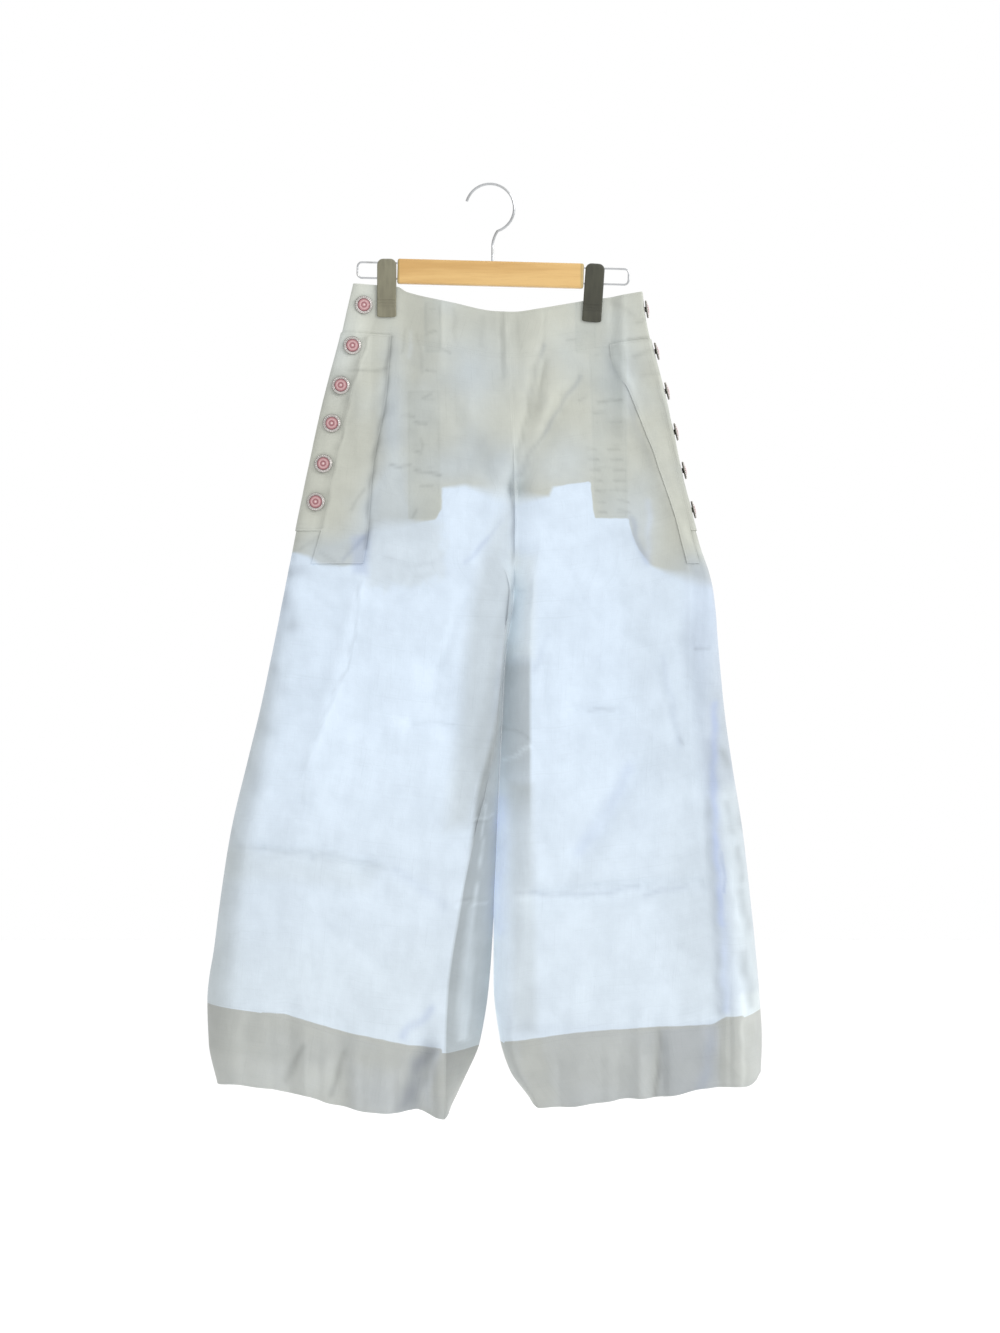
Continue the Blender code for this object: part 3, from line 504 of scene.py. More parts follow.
def crumpled(leg, points, outward):
    """A soft, uneven crumple all over, a fraction of a millimetre to a millimetre high."""
    x, y, drop = points[..., 0], points[..., 1], -points[..., 2]
    height = np.zeros(x.shape)
    for number, wave in enumerate(CRUMPLES):
        u = (x + y) * math.cos(wave.turn) + drop * math.sin(wave.turn)
        v = drop * math.cos(wave.turn) - (x + y) * math.sin(wave.turn)
        shift = 1.7 * number + leg.sign
        across = np.sin(u / wave.wide * 6.28 + shift + 1.3 * np.sin(v / wave.tall * 3.1 + shift))
        down = np.sin(v / wave.tall * 6.28 - shift + 1.1 * np.sin(u / wave.wide * 2.3))
        height += wave.size * across * down
    calm = np.clip((LEVELS[:, None] - WAIST_SEAM) / 60, 0.3, 1.0)
    height *= calm * (1 - pressed(x, LEVELS[:, None]))
    height *= away_from_seams(x.shape[1], 6)
    return points + outward * height[..., None]


def eased(points):
    """The folds of a leg's outer side turn softly below the strips."""
    columns = np.arange(points.shape[1])
    share = np.zeros(points.shape[1])
    for corner in (FRONT_COLUMNS - FRONT_ZONES.side, FRONT_COLUMNS + BACK_ZONES.side):
        share = np.maximum(share, np.exp(-(((columns - corner) / EASED_COLUMNS) ** 2)))
    low = 1 - fade(LEVELS, LAP_END + 20, LAP_END + 100)
    weight = (low[:, None] * share)[..., None] / 2
    points = points.copy()
    for _ in range(EASING_PASSES):
        between = (np.roll(points, 1, axis=1) + np.roll(points, -1, axis=1)) / 2
        points += weight * (between - points)
    return points


Surface = namedtuple("Surface", "points outward")


def leg_surfaces():
    """The shaped surface and its outward directions for the left and the right leg."""
    legs = (LEFT, RIGHT)
    plain = [eased(ring(leg)) for leg in legs]
    shaped = []
    for leg, own, other in zip(legs, plain, plain[::-1]):
        outward = normals(leg, own, other)
        shaped.append(crumpled(leg, folded(own, outward), outward))
    return {leg.name: Surface(own, normals(leg, own, other))
            for leg, own, other in zip(legs, shaped, shaped[::-1])}


# ---------------------------------------------------------------- tones of the cloth
# The thin cloth lets light through, so doubled places look greyer. Outlines are (across, drop).
ZONES = {}
ZONES["double"] = ((
    (-200, 60), (280, 60), (310, 400), (262, 462), (241, 459), (218, 451), (201, 447),
    (184, 440), (172, 424), (163, 405), (159, 386), (120, 386), (115, 344), (72, 350),
    (68, 361), (30, 363), (-7, 354), (-28, 348), (-55, 351), (-56, 376), (-62, 388),
    (-94, 391), (-120, 392), (-137, 398), (-141, 418), (-146, 438), (-172, 441),
    (-194, 439), (-205, 430), (-230, 424), (-260, 424),
),)
ZONES["strip"] = (
    ((-95, 238), (-57, 238), (-57, 376), (-62, 386), (-94, 387)),
    ((-76, 135), (-56, 135), (-56, 195), (-76, 195)),
    ((114, 186), (157, 186), (158, 386), (120, 386)),
    ((98, 130), (123, 130), (123, 195), (98, 195)),
)
ZONES["bag"] = ((
    (-141, 322), (-95, 326), (-94, 387), (-60, 387), (-54, 400), (-54, 451), (-75, 461),
    (-121, 464), (-141, 457),
),)
ZONES["hemmed"] = (         # the upper edge of each doubled hem, showing through the panel
    ((-262, 951), (-237, 953), (-164, 974), (-92, 989), (-55, 993), (-50, 1060), (-262, 1060)),
    ((16, 986), (50, 981), (111, 973), (193, 968), (256, 965), (270, 957), (291, 955),
     (291, 1060), (16, 1060)),
)

# Soft-edged areas of painted shade and painted light: shade multiplies, darkening below 1 and
# lightening above, blue and neutral turn the colour; soft is half the edge.
Area = namedtuple("Area", "soft shade blue neutral outline")
AREAS = outlined(
    Area,
    # the leg's inner face, seen through the front
    (12, 0.87, 0, 0.42, (28, 359), (29, 434), (24, 491), (17, 537), (10, 595), (9, 627), (5, 660),
     (-12, 700), (-24, 738), (-50, 742), (-46, 700), (-37, 641), (-31, 583), (-26, 526), (-20, 480),
     (-9, 434), (6, 393)),
    (9, 0.9, 0, 0.1, (22, 470), (26, 560), (12, 640), (-16, 690), (-20, 650), (-6, 590), (6, 520)),
    (10, 0.95, 0, 0, (-12, 352), (75, 352), (70, 382), (-12, 382)),
    (8, 1.06, 0, 0.45, (24, 425), (52, 430), (50, 545), (18, 545)),
    # below the right hip
    (13, 0.845, 0.2, 0.05, (230, 434), (285, 470), (290, 690), (246, 700), (240, 641), (223, 526)),
    # the right part of the right leg
    (26, 0.945, 0, 0.1, (150, 400), (215, 440), (262, 600), (262, 950), (215, 950), (190, 700),
     (160, 560)),
    # along the fold of the right side
    (7, 0.9, 0.2, 0.1, (246, 640), (260, 640), (264, 720), (276, 816), (280, 950), (262, 955),
     (254, 816), (247, 720)),
    # a pale stripe down the left leg's inner side
    (2.5, 1.3, 0.1, 0, (-23, 830), (-17, 830), (-18, 867), (-23, 934), (-25, 986), (-38, 986),
     (-36, 934), (-28, 867)),
    # the foot of the left side opening
    (5, 0.93, 0.5, 0, (-159, 408), (-138, 402), (-140, 452), (-157, 447)),
    # under the crease across the left leg
    (9, 0.965, 0, 0.2, (-330, 762), (-262, 766), (-195, 770), (-126, 786), (-140, 812), (-230, 800),
     (-330, 800)),
    # the hems
    (12, 1.1, 0, 0, (-318, 1000), (-180, 1012), (-180, 1065), (-318, 1045)),
    (12, 1.06, 0.1, 0.1, (-160, 1010), (-105, 1020), (-105, 1075), (-160, 1070)),
    (5, 0.9, 0.15, 0, (196, 970), (262, 960), (262, 1045), (192, 1050)),
    (8, 0.97, 0.08, 0, (20, 960), (190, 970), (188, 1055), (30, 1060)),
    (4, 1.12, 0, 0.3, (287, 930), (318, 930), (318, 1045), (287, 1045)),
    # waist, hips and the foot of the left leg
    (18, 0.93, 0, 0, (-70, 270), (20, 290), (15, 345), (-60, 350)),
    (9, 1.1, 0, 0.1, (8, 325), (44, 325), (44, 364), (8, 364)),
    (40, 1, 0, 0.12, (-340, 880), (-60, 880), (-60, 1000), (-340, 960)),
    (10, 0.96, 0, 0, (-105, 225), (-52, 225), (-52, 380), (-100, 385)),
    (5, 1.14, 0, 0, (137, 120), (156, 120), (158, 270), (140, 270)),
    (14, 0.9, 0, 0, (145, 195), (200, 200), (262, 450), (205, 450)),
    (6, 1.14, 0, 0, (-190, 105), (-130, 105), (-136, 158), (-160, 210), (-205, 215)),
    (16, 0.94, 0, 0, (-45, 150), (45, 150), (40, 240), (-40, 240)),
    (12, 0.955, 0, 0, (-160, 205), (-98, 205), (-98, 300), (-168, 300)),
    (15, 0.955, 0, 0, (100, 265), (160, 265), (195, 430), (110, 430)),
    (10, 0.95, 0, 0, (-130, 378), (-60, 378), (-56, 412), (-135, 412)),
    (5, 0.94, 0, 0, (-240, 404), (-196, 408), (-160, 416), (-165, 442), (-235, 430)),
    # the outer end of the right hem, and faces of the legs
    (5, 1.04, 0, 0.2, (262, 940), (292, 930), (292, 1045), (262, 1045)),
    (7, 0.9, 0, 0.3, (23, 690), (49, 690), (53, 974), (28, 974)),
    (30, 1.03, 0, 0, (-150, 545), (-60, 560), (-60, 700), (-200, 740), (-190, 620)),
    (25, 1.02, 0, 0, (60, 700), (130, 690), (120, 900), (60, 900)),
)

# Chains of short lines where the cloth is creased or sewn: painted shade in the creases, painted
# highlights beside them, and the seams; depth darkens, or lightens below 0.
Line = namedtuple("Line", "width depth blue places")
FRONT_LINES = outlined(
    Line,
    # the edge of the left button strip
    (1.5, 0.2, 0, (-142.5, 176), (-160.5, 238), (-180, 330), (-194.5, 398)),
    (2, -0.05, 0, (-139, 178), (-157, 240), (-176.5, 332), (-191, 398)),
    # along the left side opening
    (3.2, 0.25, 0, (-114, 176), (-118, 212), (-122, 262), (-132, 316), (-138, 356), (-139, 397),
     (-143, 420)),
    (9, 0.08, 0.05, (-108, 176), (-112, 212), (-116, 262), (-126, 316), (-133, 356), (-135, 397),
     (-142, 430)),
    # the pressed crease, broken and uneven
    (2, 0.11, 0, (-147, 457), (-152, 491), (-156, 526), (-162, 558), (-172, 576)),
    (2.6, -0.04, 0, (-151, 452), (-157, 491), (-161, 526), (-167, 560)),
    (2.2, 0.07, 0, (-176, 582), (-193, 620), (-199, 640)),
    (2.2, 0.04, 0, (-208, 660), (-212, 700), (-216, 722)),
    # across the left leg
    (2.4, 0.07, 0, (-87, 621), (-63, 620), (-43, 623)),
    (3, 0.06, 0, (-296, 761), (-262, 765), (-230, 769), (-205, 767)),
    (3, 0.07, 0, (-195, 768), (-167, 774), (-146, 779), (-120, 787)),
    (6, 0.04, 0.1, (-109, 790), (-80, 807), (-52, 830)),
    (5, 0.07, 0.4, (-66, 948), (-75, 958), (-92, 969), (-99, 979)),     # above its hem
    # round the crotch
    (3, 0.06, 0.3, (-27, 437), (3, 404), (13, 388)),
    (7, 0.07, 0.1, (24, 480), (17, 537), (10, 595), (7, 640), (-3, 680)),
    # folds of the hems
    (6, -0.06, 0, (-284, 953), (-288, 1037)),
    (4.4, 0.18, 0, (-214, 992), (-224, 1012), (-234, 1030)),
    (4, 0.18, 0, (-168, 998), (-174, 1020), (-180, 1046)),
    (6, -0.05, 0, (-183, 1009), (-186, 1045)),
    (11, 0.36, 0.25, (-71, 996), (-80, 1014), (-89, 1043), (-93, 1060)),
    (5, -0.07, 0.1, (-60, 997), (-69, 1032), (-71, 1060)),
    (3, 0.2, 0, (196, 974), (193, 1009), (190, 1049)),
    (8, 0.1, 0.2, (252, 975), (250, 1009), (244, 1037)),
    (5, -0.07, 0, (179, 1005), (178, 1049)),
    (12, -0.03, -0.2, (46, 991), (60, 1049)),
    # drag lines from the waist to the crotch, and their pale sides
    (3.2, 0.15, 0.1, (61, 186), (52, 217), (44, 261), (34, 307), (31, 339)),
    (3.2, 0.17, 0.1, (103, 222), (87, 247), (67, 282), (46, 313), (34, 335)),
    (6, -0.04, -0.3, (51, 186), (39, 250), (28, 319)),
    (5, -0.04, -0.3, (93, 217), (63, 263), (39, 301)),
    (3, 0.13, 0.1, (28, 372), (28, 388), (26, 434), (26, 468), (23, 500)),
    # pressed lines of the waist
    (3.4, 0.12, 0, (16, 150), (15, 190), (16, 222)),
    (3, 0.09, 0, (31, 153), (34, 186)),
    (3.4, 0.06, 0, (-9, 153), (-9, 186)),
    (3, 0.08, 0, (-41, 145), (-41, 180)),
    (3, 0.06, 0, (-76, 142), (-76, 182)),
    (2.6, -0.06, 0, (22, 160), (25, 250), (28, 340)),
    # along the right side opening
    (4, -0.08, -0.3, (143, 194), (163, 232), (186, 308), (205, 359), (230, 411), (241, 424)),
    (6, 0.07, 0.05, (133, 192), (154, 231), (172, 284), (190, 330)),
    (2.6, -0.07, 0, (195, 221), (209, 261), (228, 330), (248, 425)),
    # across and down the right leg
    (2, 0.14, 0, (113, 607), (126, 605), (143, 605)),
    (2, 0.15, 0, (237, 536), (252, 534)),
    (2, 0.1, 0, (218, 638), (222, 646)),
    (9, 0.045, 0.25, (159, 675), (144, 704), (124, 738), (103, 767)),
    (2.6, 0.09, 0.1, (31, 814), (80, 817), (126, 816), (172, 807)),
    (2.4, 0.08, 0.1, (176, 818), (200, 812), (227, 808)),
    (3, -0.03, 0, (31, 822), (80, 824), (126, 823), (172, 815)),
    (4, 0.035, 0.1, (198, 547), (205, 583), (214, 629), (218, 645)),
    (3, 0.06, 0.1, (66, 520), (57, 549), (49, 561)),
    # along the fold of the right side
    (6, 0.13, 0, (249, 710), (251, 760), (257, 820), (259, 880), (261, 950)),
    (4.5, -0.05, 0.75, (258, 600), (256, 690), (258, 752), (263, 816), (266, 850)),
    (5, -0.06, 0.3, (266, 860), (268, 890), (270, 950)),
    (2, 0.08, 0.5, (266, 770), (269, 815)),
    # crumples of the right side
    (6, 0.17, -0.1, (268, 655), (274, 668)),
    (5, 0.15, -0.1, (272, 712), (280, 745)),
    (6, 0.15, -0.1, (285, 728), (294, 740)),
    (4.5, 0.16, 0, (284, 765), (291, 800)),
    (5, 0.14, -0.1, (288, 815), (296, 855)),
    (6, 0.17, -0.1, (290, 885), (300, 945)),
    (2.5, -0.07, 0, (277, 792), (288, 864)),
    (2.5, -0.03, 0, (284, 900), (292, 960)),
    (2.5, -0.1, 0, (289, 962), (290, 1035)),
    # crumples of the left side
    (9, 0.17, -0.1, (-232, 448), (-216, 446)),
    (10, 0.17, -0.1, (-236, 478), (-227, 508)),
    (8, 0.11, -0.1, (-248, 560), (-238, 582)),
    (8, 0.07, 0, (-264, 618), (-252, 632)),
    (9, 0.08, 0, (-280, 662), (-266, 700)),
    (4, 0.06, 0, (-296, 745), (-284, 765)),
    # between the legs: a blue stripe, and seams with their stitches
    (9, -0.02, 0.8, (14, 712), (12, 760), (8, 859)),
    (1.6, -0.3, 0, (-5, 714), (-9, 767), (-15, 816), (-18, 829)),
    (1.6, -0.2, 0, (-17, 730), (-5, 729), (3, 727)),
    (1.6, 0.11, 0, (-17, 734), (-5, 733), (3, 731)),
    (1.6, -0.16, 0, (-38, 829), (-17, 828), (-3, 827)),
    (1.6, 0.11, 0, (-38, 824), (-17, 823), (-3, 822)),
    (2.4, -0.2, 0, (17, 664), (32, 656), (46, 647)),
    (1.8, 0.11, 0, (13, 627), (28, 627), (46, 640)),
    # puckers, left
    (1.7, 0.14, 0, (-155, 213), (-132, 216), (-114, 210)),
    (2.2, -0.04, 0, (-155, 209), (-132, 211), (-116, 206)),
    (1.7, 0.13, 0, (-72, 172), (-62, 171)),
    (1.7, 0.15, 0, (-56, 192), (-46, 195)),
    (1.7, 0.13, 0, (-73, 215), (-62, 217)),
    (1.7, 0.13, 0, (-75, 246), (-66, 243)),
    (1.7, 0.13, 0, (-99, 267), (-87, 269)),
    (1.7, 0.17, 0, (-84, 275), (-73, 277)),
    (1.8, 0.1, 0, (-81, 294), (-77, 305)),
    (1.7, 0.14, 0, (-88, 307), (-78, 310)),
    (1.9, 0.18, 0, (-116, 323), (-104, 327), (-92, 326)),
    (1.9, 0.17, 0, (-85, 331), (-70, 333), (-57, 338)),
    (1.7, 0.14, 0, (-79, 348), (-66, 349)),
    (1.7, 0.14, 0, (-90, 385), (-84, 376)),
    (2, 0.11, 0, (-97, 169), (-101, 193)),
    (3, -0.06, 0.1, (-90, 170), (-93, 200)),
    (2, 0.07, 0, (-83, 172), (-78, 217)),
    (2.2, 0.13, 0, (-146, 353), (-152, 362), (-159, 376)),
    (2.2, 0.11, 0, (-219, 421), (-208, 415), (-195, 407)),
    (2.6, 0.14, 0.2, (-169, 434), (-160, 422), (-145, 407)),
    (2, 0.1, 0, (-195, 424), (-177, 438)),
    (3, 0.05, 0, (-120, 430), (-95, 440), (-66, 438)),
    (3, 0.04, 0, (-88, 452), (-50, 449)),
    # puckers, right
    (1.7, 0.13, 0, (90, 180), (100, 178)),
    (1.7, 0.11, 0, (104, 249), (113, 245)),
    (1.9, 0.15, 0, (124, 253), (138, 248), (152, 251)),
    (1.7, 0.13, 0, (120, 266), (131, 263)),
    (3, 0.06, 0, (140, 134), (166, 151)),
    (2.2, 0.13, 0, (168, 160), (186, 154)),
    (2.2, 0.17, 0, (160, 180), (175, 177), (190, 178)),
    (2.6, 0.1, 0, (166, 199), (180, 193), (194, 191)),
    (2.6, 0.08, 0, (172, 222), (196, 218)),
    (1.8, 0.08, 0, (192, 228), (217, 323), (243, 407)),
    (3.6, 0.14, 0.3, (163, 387), (166, 407), (174, 424), (182, 438)),
    (4, -0.05, 0.25, (182, 368), (182, 436)),
)
BACK_LINES = outlined(
    Line,
    (3, 0.08, 0, (30, 190), (30, 330)),
    (3, 0.08, 0, (-240, 799), (-160, 786), (-100, 772)),
    (3, 0.08, 0, (80, 772), (160, 786), (230, 799)),
    (2.4, 0.07, 0, (-90, 620), (-30, 640)),
    (2.4, 0.07, 0, (90, 590), (150, 600)),
    (5, 0.14, 0.1, (-130, 985), (-128, 1055)),
    (4, 0.12, 0, (120, 975), (122, 1045)),
    (4, 0.14, 0.1, (215, 965), (214, 1035)),
)
# The two rows of buttonhole edges that show on the lower part of the right inner strip.
FRONT_LINES += tuple(
    Line(1.6, 0.13, 0, ((start + lean, drop), (end + lean, drop + 1)))
    for drop, lean in zip(range(306, 384, 12), range(0, 14, 2))
    for start, end in ((112, 122), (137, 149))
)

# Round soft spots where the doubled cloth looks cooler, or where its edge is blurred.
Spot = namedtuple("Spot", "across drop wide tall amount")
COOL_SPOTS = table(
    Spot,
    (-17, 215, 42, 48, 0.8), (17, 340, 26, 38, 1), (146, 215, 24, 60, 0.8), (-112, 280, 15, 75, 0.8),
    (172, 392, 24, 55, 0.9), (-152, 425, 20, 28, 0.9), (-115, 395, 34, 40, 0.9),
    (95, 205, 20, 36, 0.4), (-50, 120, 20, 30, 0.3), (-23, 290, 26, 26, 0.35),
    (140, 380, 20, 30, 0.5), (-122, 372, 22, 40, 0.9), (-178, 180, 26, 60, 0.5),
    (240, 450, 40, 26, 0.8), (-195, 425, 34, 22, 0.8), (-60, 330, 40, 24, 0.6),
    (90, 320, 34, 34, 0.7), (-75, 265, 20, 40, 0.4), (-165, 435, 30, 16, 0.9),
    (-25, 325, 34, 26, 0.5),
)
BLUR_SPOTS = table(
    Spot,
    (20, 358, 34, 50, 15), (240, 459, 44, 36, 10), (-196, 430, 34, 30, 3), (-118, 394, 28, 22, 11),
    (-40, 352, 18, 20, 2), (-145, 430, 12, 14, 5),
)
EDGE_BLUR = 1.0

# How much the side faces take away from the light, down each leg.
SideTone = namedtuple("SideTone", "drop left_inner right_inner left_outer right_outer")
SIDE_TONES = table(
    SideTone,
    (440, 1, 1, 1, 1),
    (500, 0.94, 1.02, 0.97, 0.98),
    (538, 0.86, 0.96, 0.97, 0.97),
    (560, 0.82, 0.76, 0.97, 0.96),
    (650, 0.7, 0.76, 0.95, 0.92),
    (700, 0.6, 0.86, 0.94, 0.9),
    (745, 0.55, 1.02, 0.93, 0.92),
    (880, 0.55, 1.03, 0.93, 0.93),
    (980, 0.6, 1.02, 0.96, 0.96),
    (1060, 0.8, 1.02, 0.98, 0.97),
)
SIDE_NEUTRAL = 0.55         # how far the painted shade of the side faces turns them from blue to a neutral grey
INNER_SPREAD = 3.0          # columns of the left leg's face that take the painted shade of its inner side
SPREAD_DROP = 690.0         # where that is most, and how far up and down it reaches
SPREAD_REACH = 50.0
SEAM_PAINTED_GLOW = 0.5             # painted glow: emission that stands for the light coming through the cloth deep between the legs


def inside_by(x, drop, outline):
    """How far inside an outline a place lies, in millimetres, negative outside."""
    nearest = np.full(x.shape, 1e9)
    crossings = np.zeros(x.shape, int)
    for (x0, d0), (x1, d1) in zip(outline, outline[1:] + outline[:1]):
        off, _ = off_line(x, drop, x0, d0, x1, d1)
        nearest = np.minimum(nearest, off)
        spans = (d0 > drop) != (d1 > drop)
        at = x0 + (x1 - x0) * (drop - d0) / ((d1 - d0) or 1e-9)
        crossings += spans & (x < at)
    return np.where(crossings % 2 == 1, nearest, -nearest)


def spotted(x, drop, spots):
    """The sum of round soft spots."""
    total = np.zeros(x.shape)
    for spot in spots:
        off = ((x - spot.across) / spot.wide) ** 2 + ((drop - spot.drop) / spot.tall) ** 2
        total += spot.amount * np.exp(-off)
    return total


def tones(points, front):
    """Attributes that the cotton's material reads, for a grid of points."""
    x, drop = points[..., 0], -points[..., 2]
    front = np.broadcast_to(front, x.shape)
    shade = np.ones(x.shape)
    blue = np.zeros(x.shape)
    neutral = np.zeros(x.shape)
    for area in AREAS:
        share = front * (1 - fade(inside_by(x, drop, area.outline), -area.soft, area.soft))
        shade *= mix(1.0, area.shade, share)
        blue += area.blue * share
        neutral += area.neutral * share
    # The lines waver and are uneven, as creases are.
    aside = x + 0.9 * np.sin(drop / 5.3 + np.sin(x / 9.0)) + 0.8 * np.sin(drop / 12.7 + x / 15)
    below = drop + 0.9 * np.sin(x / 5.7 + np.sin(drop / 11.0))
    uneven = 1 + 0.3 * np.sin(drop / 7.3 + x / 6.1) * np.sin(drop / 19.0 - x / 13.0 + 1.0)
    for lines, own in ((FRONT_LINES, front), (BACK_LINES, ~front)):
        for line in lines:
            chain = [off_line(aside, below, *start, *end)[0]
                     for start, end in zip(line.places, line.places[1:])]
            share = own * uneven * np.exp(-((np.min(chain, axis=0) / line.width) ** 2))
            shade *= 1 - line.depth * share
            blue += line.blue * share
    values = {name: np.max([inside_by(x, drop, outline) for outline in outlines], axis=0)
              for name, outlines in ZONES.items()}
    values["hemmed"] = values["hemmed"] * front
    values["blur"] = EDGE_BLUR + spotted(x, drop, BLUR_SPOTS)
    values["cool"] = np.clip(spotted(x, drop, COOL_SPOTS), 0.0, 1.0)
    values["shade"] = shade
    values["blue"] = np.clip(blue, 0.0, 1.0)
    values["neutral"] = neutral
    return values


def side_shares(leg, columns, drop):
    """How much a place belongs to the inner and to the outer side face of a leg."""
    near = np.exp(-(((drop - SPREAD_DROP) / SPREAD_REACH) ** 2))
    spread = INNER_SPREAD * near if leg is LEFT else 0.0
    inner = 1 - np.clip((columns - FRONT_ZONES.inner + 1 - spread) / 2, 0.0, 1.0)
    outer = 1 - fade(columns, FRONT_COLUMNS - FRONT_ZONES.side - 6, FRONT_COLUMNS - 3)
    return inner, outer


def add_sides(values, leg, columns, drop):
    """The painted shade of the leg's side faces, on top of the other tones, and the painted glow
    between the legs.
    """
    inner, outer = side_shares(leg, columns[None, :], drop)
    inner_tone = along(SIDE_TONES, f"{leg.name}_inner", drop)
    outer_tone = along(SIDE_TONES, f"{leg.name}_outer", drop)
    values["shade"] *= mix(1.0, inner_tone, inner) * mix(1.0, outer_tone, outer)
    low = 1 - fade(drop, CROTCH + 2, CROTCH + 172)
    turned = np.maximum(inner * np.clip((1 - inner_tone) * 4, 0.0, 1.0), outer * low)
    values["neutral"] = np.clip(values["neutral"] + SIDE_NEUTRAL * turned, 0.0, 1.0)
    values["blue"] = values["blue"] * (1 - 0.5 * inner)
    # Painted glow: emission along the inner seams, from a little above the crotch down.
    deep = np.clip(1 - columns[None, :] / FRONT_ZONES.inner, 0.0, 1.0) ** 1.3
    values["glow"] = SEAM_PAINTED_GLOW * deep * (1 - fade(drop, CROTCH - 45, CROTCH + 8))


# ---------------------------------------------------------------- meshes
def stand_for(thing, node):
    """Puts a piece into the scene in the place of its CAD node."""
    bpy.context.scene.collection.objects.link(thing)
    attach(thing, BODY)
    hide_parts(node)
    return thing


def skin_grid(surface, rows, columns, lift, closed=False):
    """Part of a leg's surface moved out by a lift and drawn in by half a seam at its edges."""
    part = np.ix_(rows, columns)
    grid = surface.points[part] + surface.outward[part] * lift

    def draw_in(edge, inside):
        way = inside - edge
        return edge + way / np.linalg.norm(way, axis=-1, keepdims=True) * SEAM_GAP / 2

    grid[0], grid[-1] = draw_in(grid[0], grid[1]), draw_in(grid[-1], grid[-2])
    if not closed:
        grid[:, 0], grid[:, -1] = draw_in(grid[:, 0], grid[:, 1]), draw_in(grid[:, -1], grid[:, -2])
    return grid


def arc_lengths(grid):
    """Distances across and down the cloth, which its weave and stitches follow."""
    across = np.linalg.norm(np.diff(grid, axis=1), axis=-1)
    across = np.concatenate([np.zeros((len(grid), 1)), np.cumsum(across, axis=1)], axis=1)
    down = np.linalg.norm(np.diff(grid, axis=0), axis=-1)
    down = np.concatenate([np.zeros((1, grid.shape[1])), np.cumsum(down, axis=0)], axis=0)
    return across, down


def shell_faces(index, closed):
    """Faces of a thin shell: its outer skin, its inner skin and the rims between them."""
    count = index.size
    starts, ends = index[:, :-1], index[:, 1:]
    if closed:
        starts, ends = index, np.roll(index, -1, axis=1)
    quads = np.stack([starts[:-1], ends[:-1], ends[1:], starts[1:]], axis=-1).reshape(-1, 4)
    rims = [(starts[0], ends[0], -1), (starts[-1], ends[-1], 1)]
    if not closed:
        rims += [(index[:-1, 0], index[1:, 0], 1), (index[:-1, -1], index[1:, -1], -1)]
    faces = [quads, quads[:, ::-1] + count]
    for near, far, way in rims:
        rim = np.stack([near, far, far + count, near + count], axis=-1)
        faces.append(rim[:, ::way])
    return np.concatenate(faces)


def shell(node, outer, inner, attributes, finish, closed=False):
    """A closed thin shell between two grids, with its distances as UVs and its tones."""
    index = np.arange(outer.shape[0] * outer.shape[1]).reshape(outer.shape[:2])
    coordinates = np.concatenate([outer.reshape(-1, 3), inner.reshape(-1, 3)]) * MM
    mesh = bpy.data.meshes.new(f"shell_{node}")
    mesh.from_pydata(coordinates.tolist(), [], shell_faces(index, closed).tolist())
    mesh.update()

    across, down = arc_lengths(outer)
    attributes["rim_down"] = np.minimum(down, down[-1:] - down)
    attributes["rim_across"] = np.minimum(across, across[:, -1:] - across)
    if closed:
        attributes["rim_across"] = np.full(across.shape, NO_RIM)
    flat = np.stack([across.ravel(), down.ravel()], axis=-1) * MM
    flat = np.concatenate([flat, flat])
    loops = np.empty(len(mesh.loops), int)
    mesh.loops.foreach_get("vertex_index", loops)
    layer = mesh.uv_layers.new(name="cut")
    layer.data.foreach_set("uv", flat[loops].ravel().astype(np.float32))
    for key, values in attributes.items():
        data = np.concatenate([values.ravel(), values.ravel()]).astype(np.float32)
        mesh.attributes.new(key, "FLOAT", "POINT").data.foreach_set("value", data)

    bm = bmesh.new()
    bm.from_mesh(mesh)
    bmesh.ops.recalc_face_normals(bm, faces=bm.faces)
    bm.to_mesh(mesh)
    bm.free()
    mesh.shade_smooth()
    mesh.set_sharp_from_angle(angle=math.radians(50))
    mesh.materials.append(finish)
    return bpy.data.objects.new(f"shell_{node}", mesh)


def row_range(top, bottom):
    """The rows between two levels."""
    return np.flatnonzero((LEVELS >= top - 1e-6) & (LEVELS <= bottom + 1e-6))


def leg_piece(leg, surface, part, finish):
    """One piece of cloth on a leg."""
    rows = row_range(part.top, part.bottom)
    closed = part.name == "hem_band"
    outer, inner = (skin_grid(surface, rows, part.columns, lift, closed)
                    for lift in (part.lift, part.lift - part.thickness))
    front = part.columns <= FRONT_COLUMNS
    values = tones(outer, front)
    mirrored = FRONT_COLUMNS - (part.columns - FRONT_COLUMNS) * FRONT_COLUMNS / BACK_COLUMNS
    add_sides(values, leg, np.where(front, part.columns, mirrored), -outer[..., 2])
    node = f"{part.name}_{leg.name}"
    return stand_for(shell(node, outer, inner, values, finish, closed), node)


def waistband(node, surfaces, columns, finish):
    """A waistband across both legs, from side seam to side seam."""
    both = Surface(*(np.concatenate([left[:, columns[::-1]], right[:, columns[1:]]], axis=1)
                     for left, right in zip(surfaces["left"], surfaces["right"])))
    rows = row_range(WAIST_TOP, WAIST_SEAM)
    across = np.arange(both.points.shape[1])
    outer, inner = (skin_grid(both, rows, across, lift) for lift in (0.0, -SHELL))
    values = tones(outer, columns[0] < FRONT_COLUMNS)
    return stand_for(shell(node, outer, inner, values, finish), node)


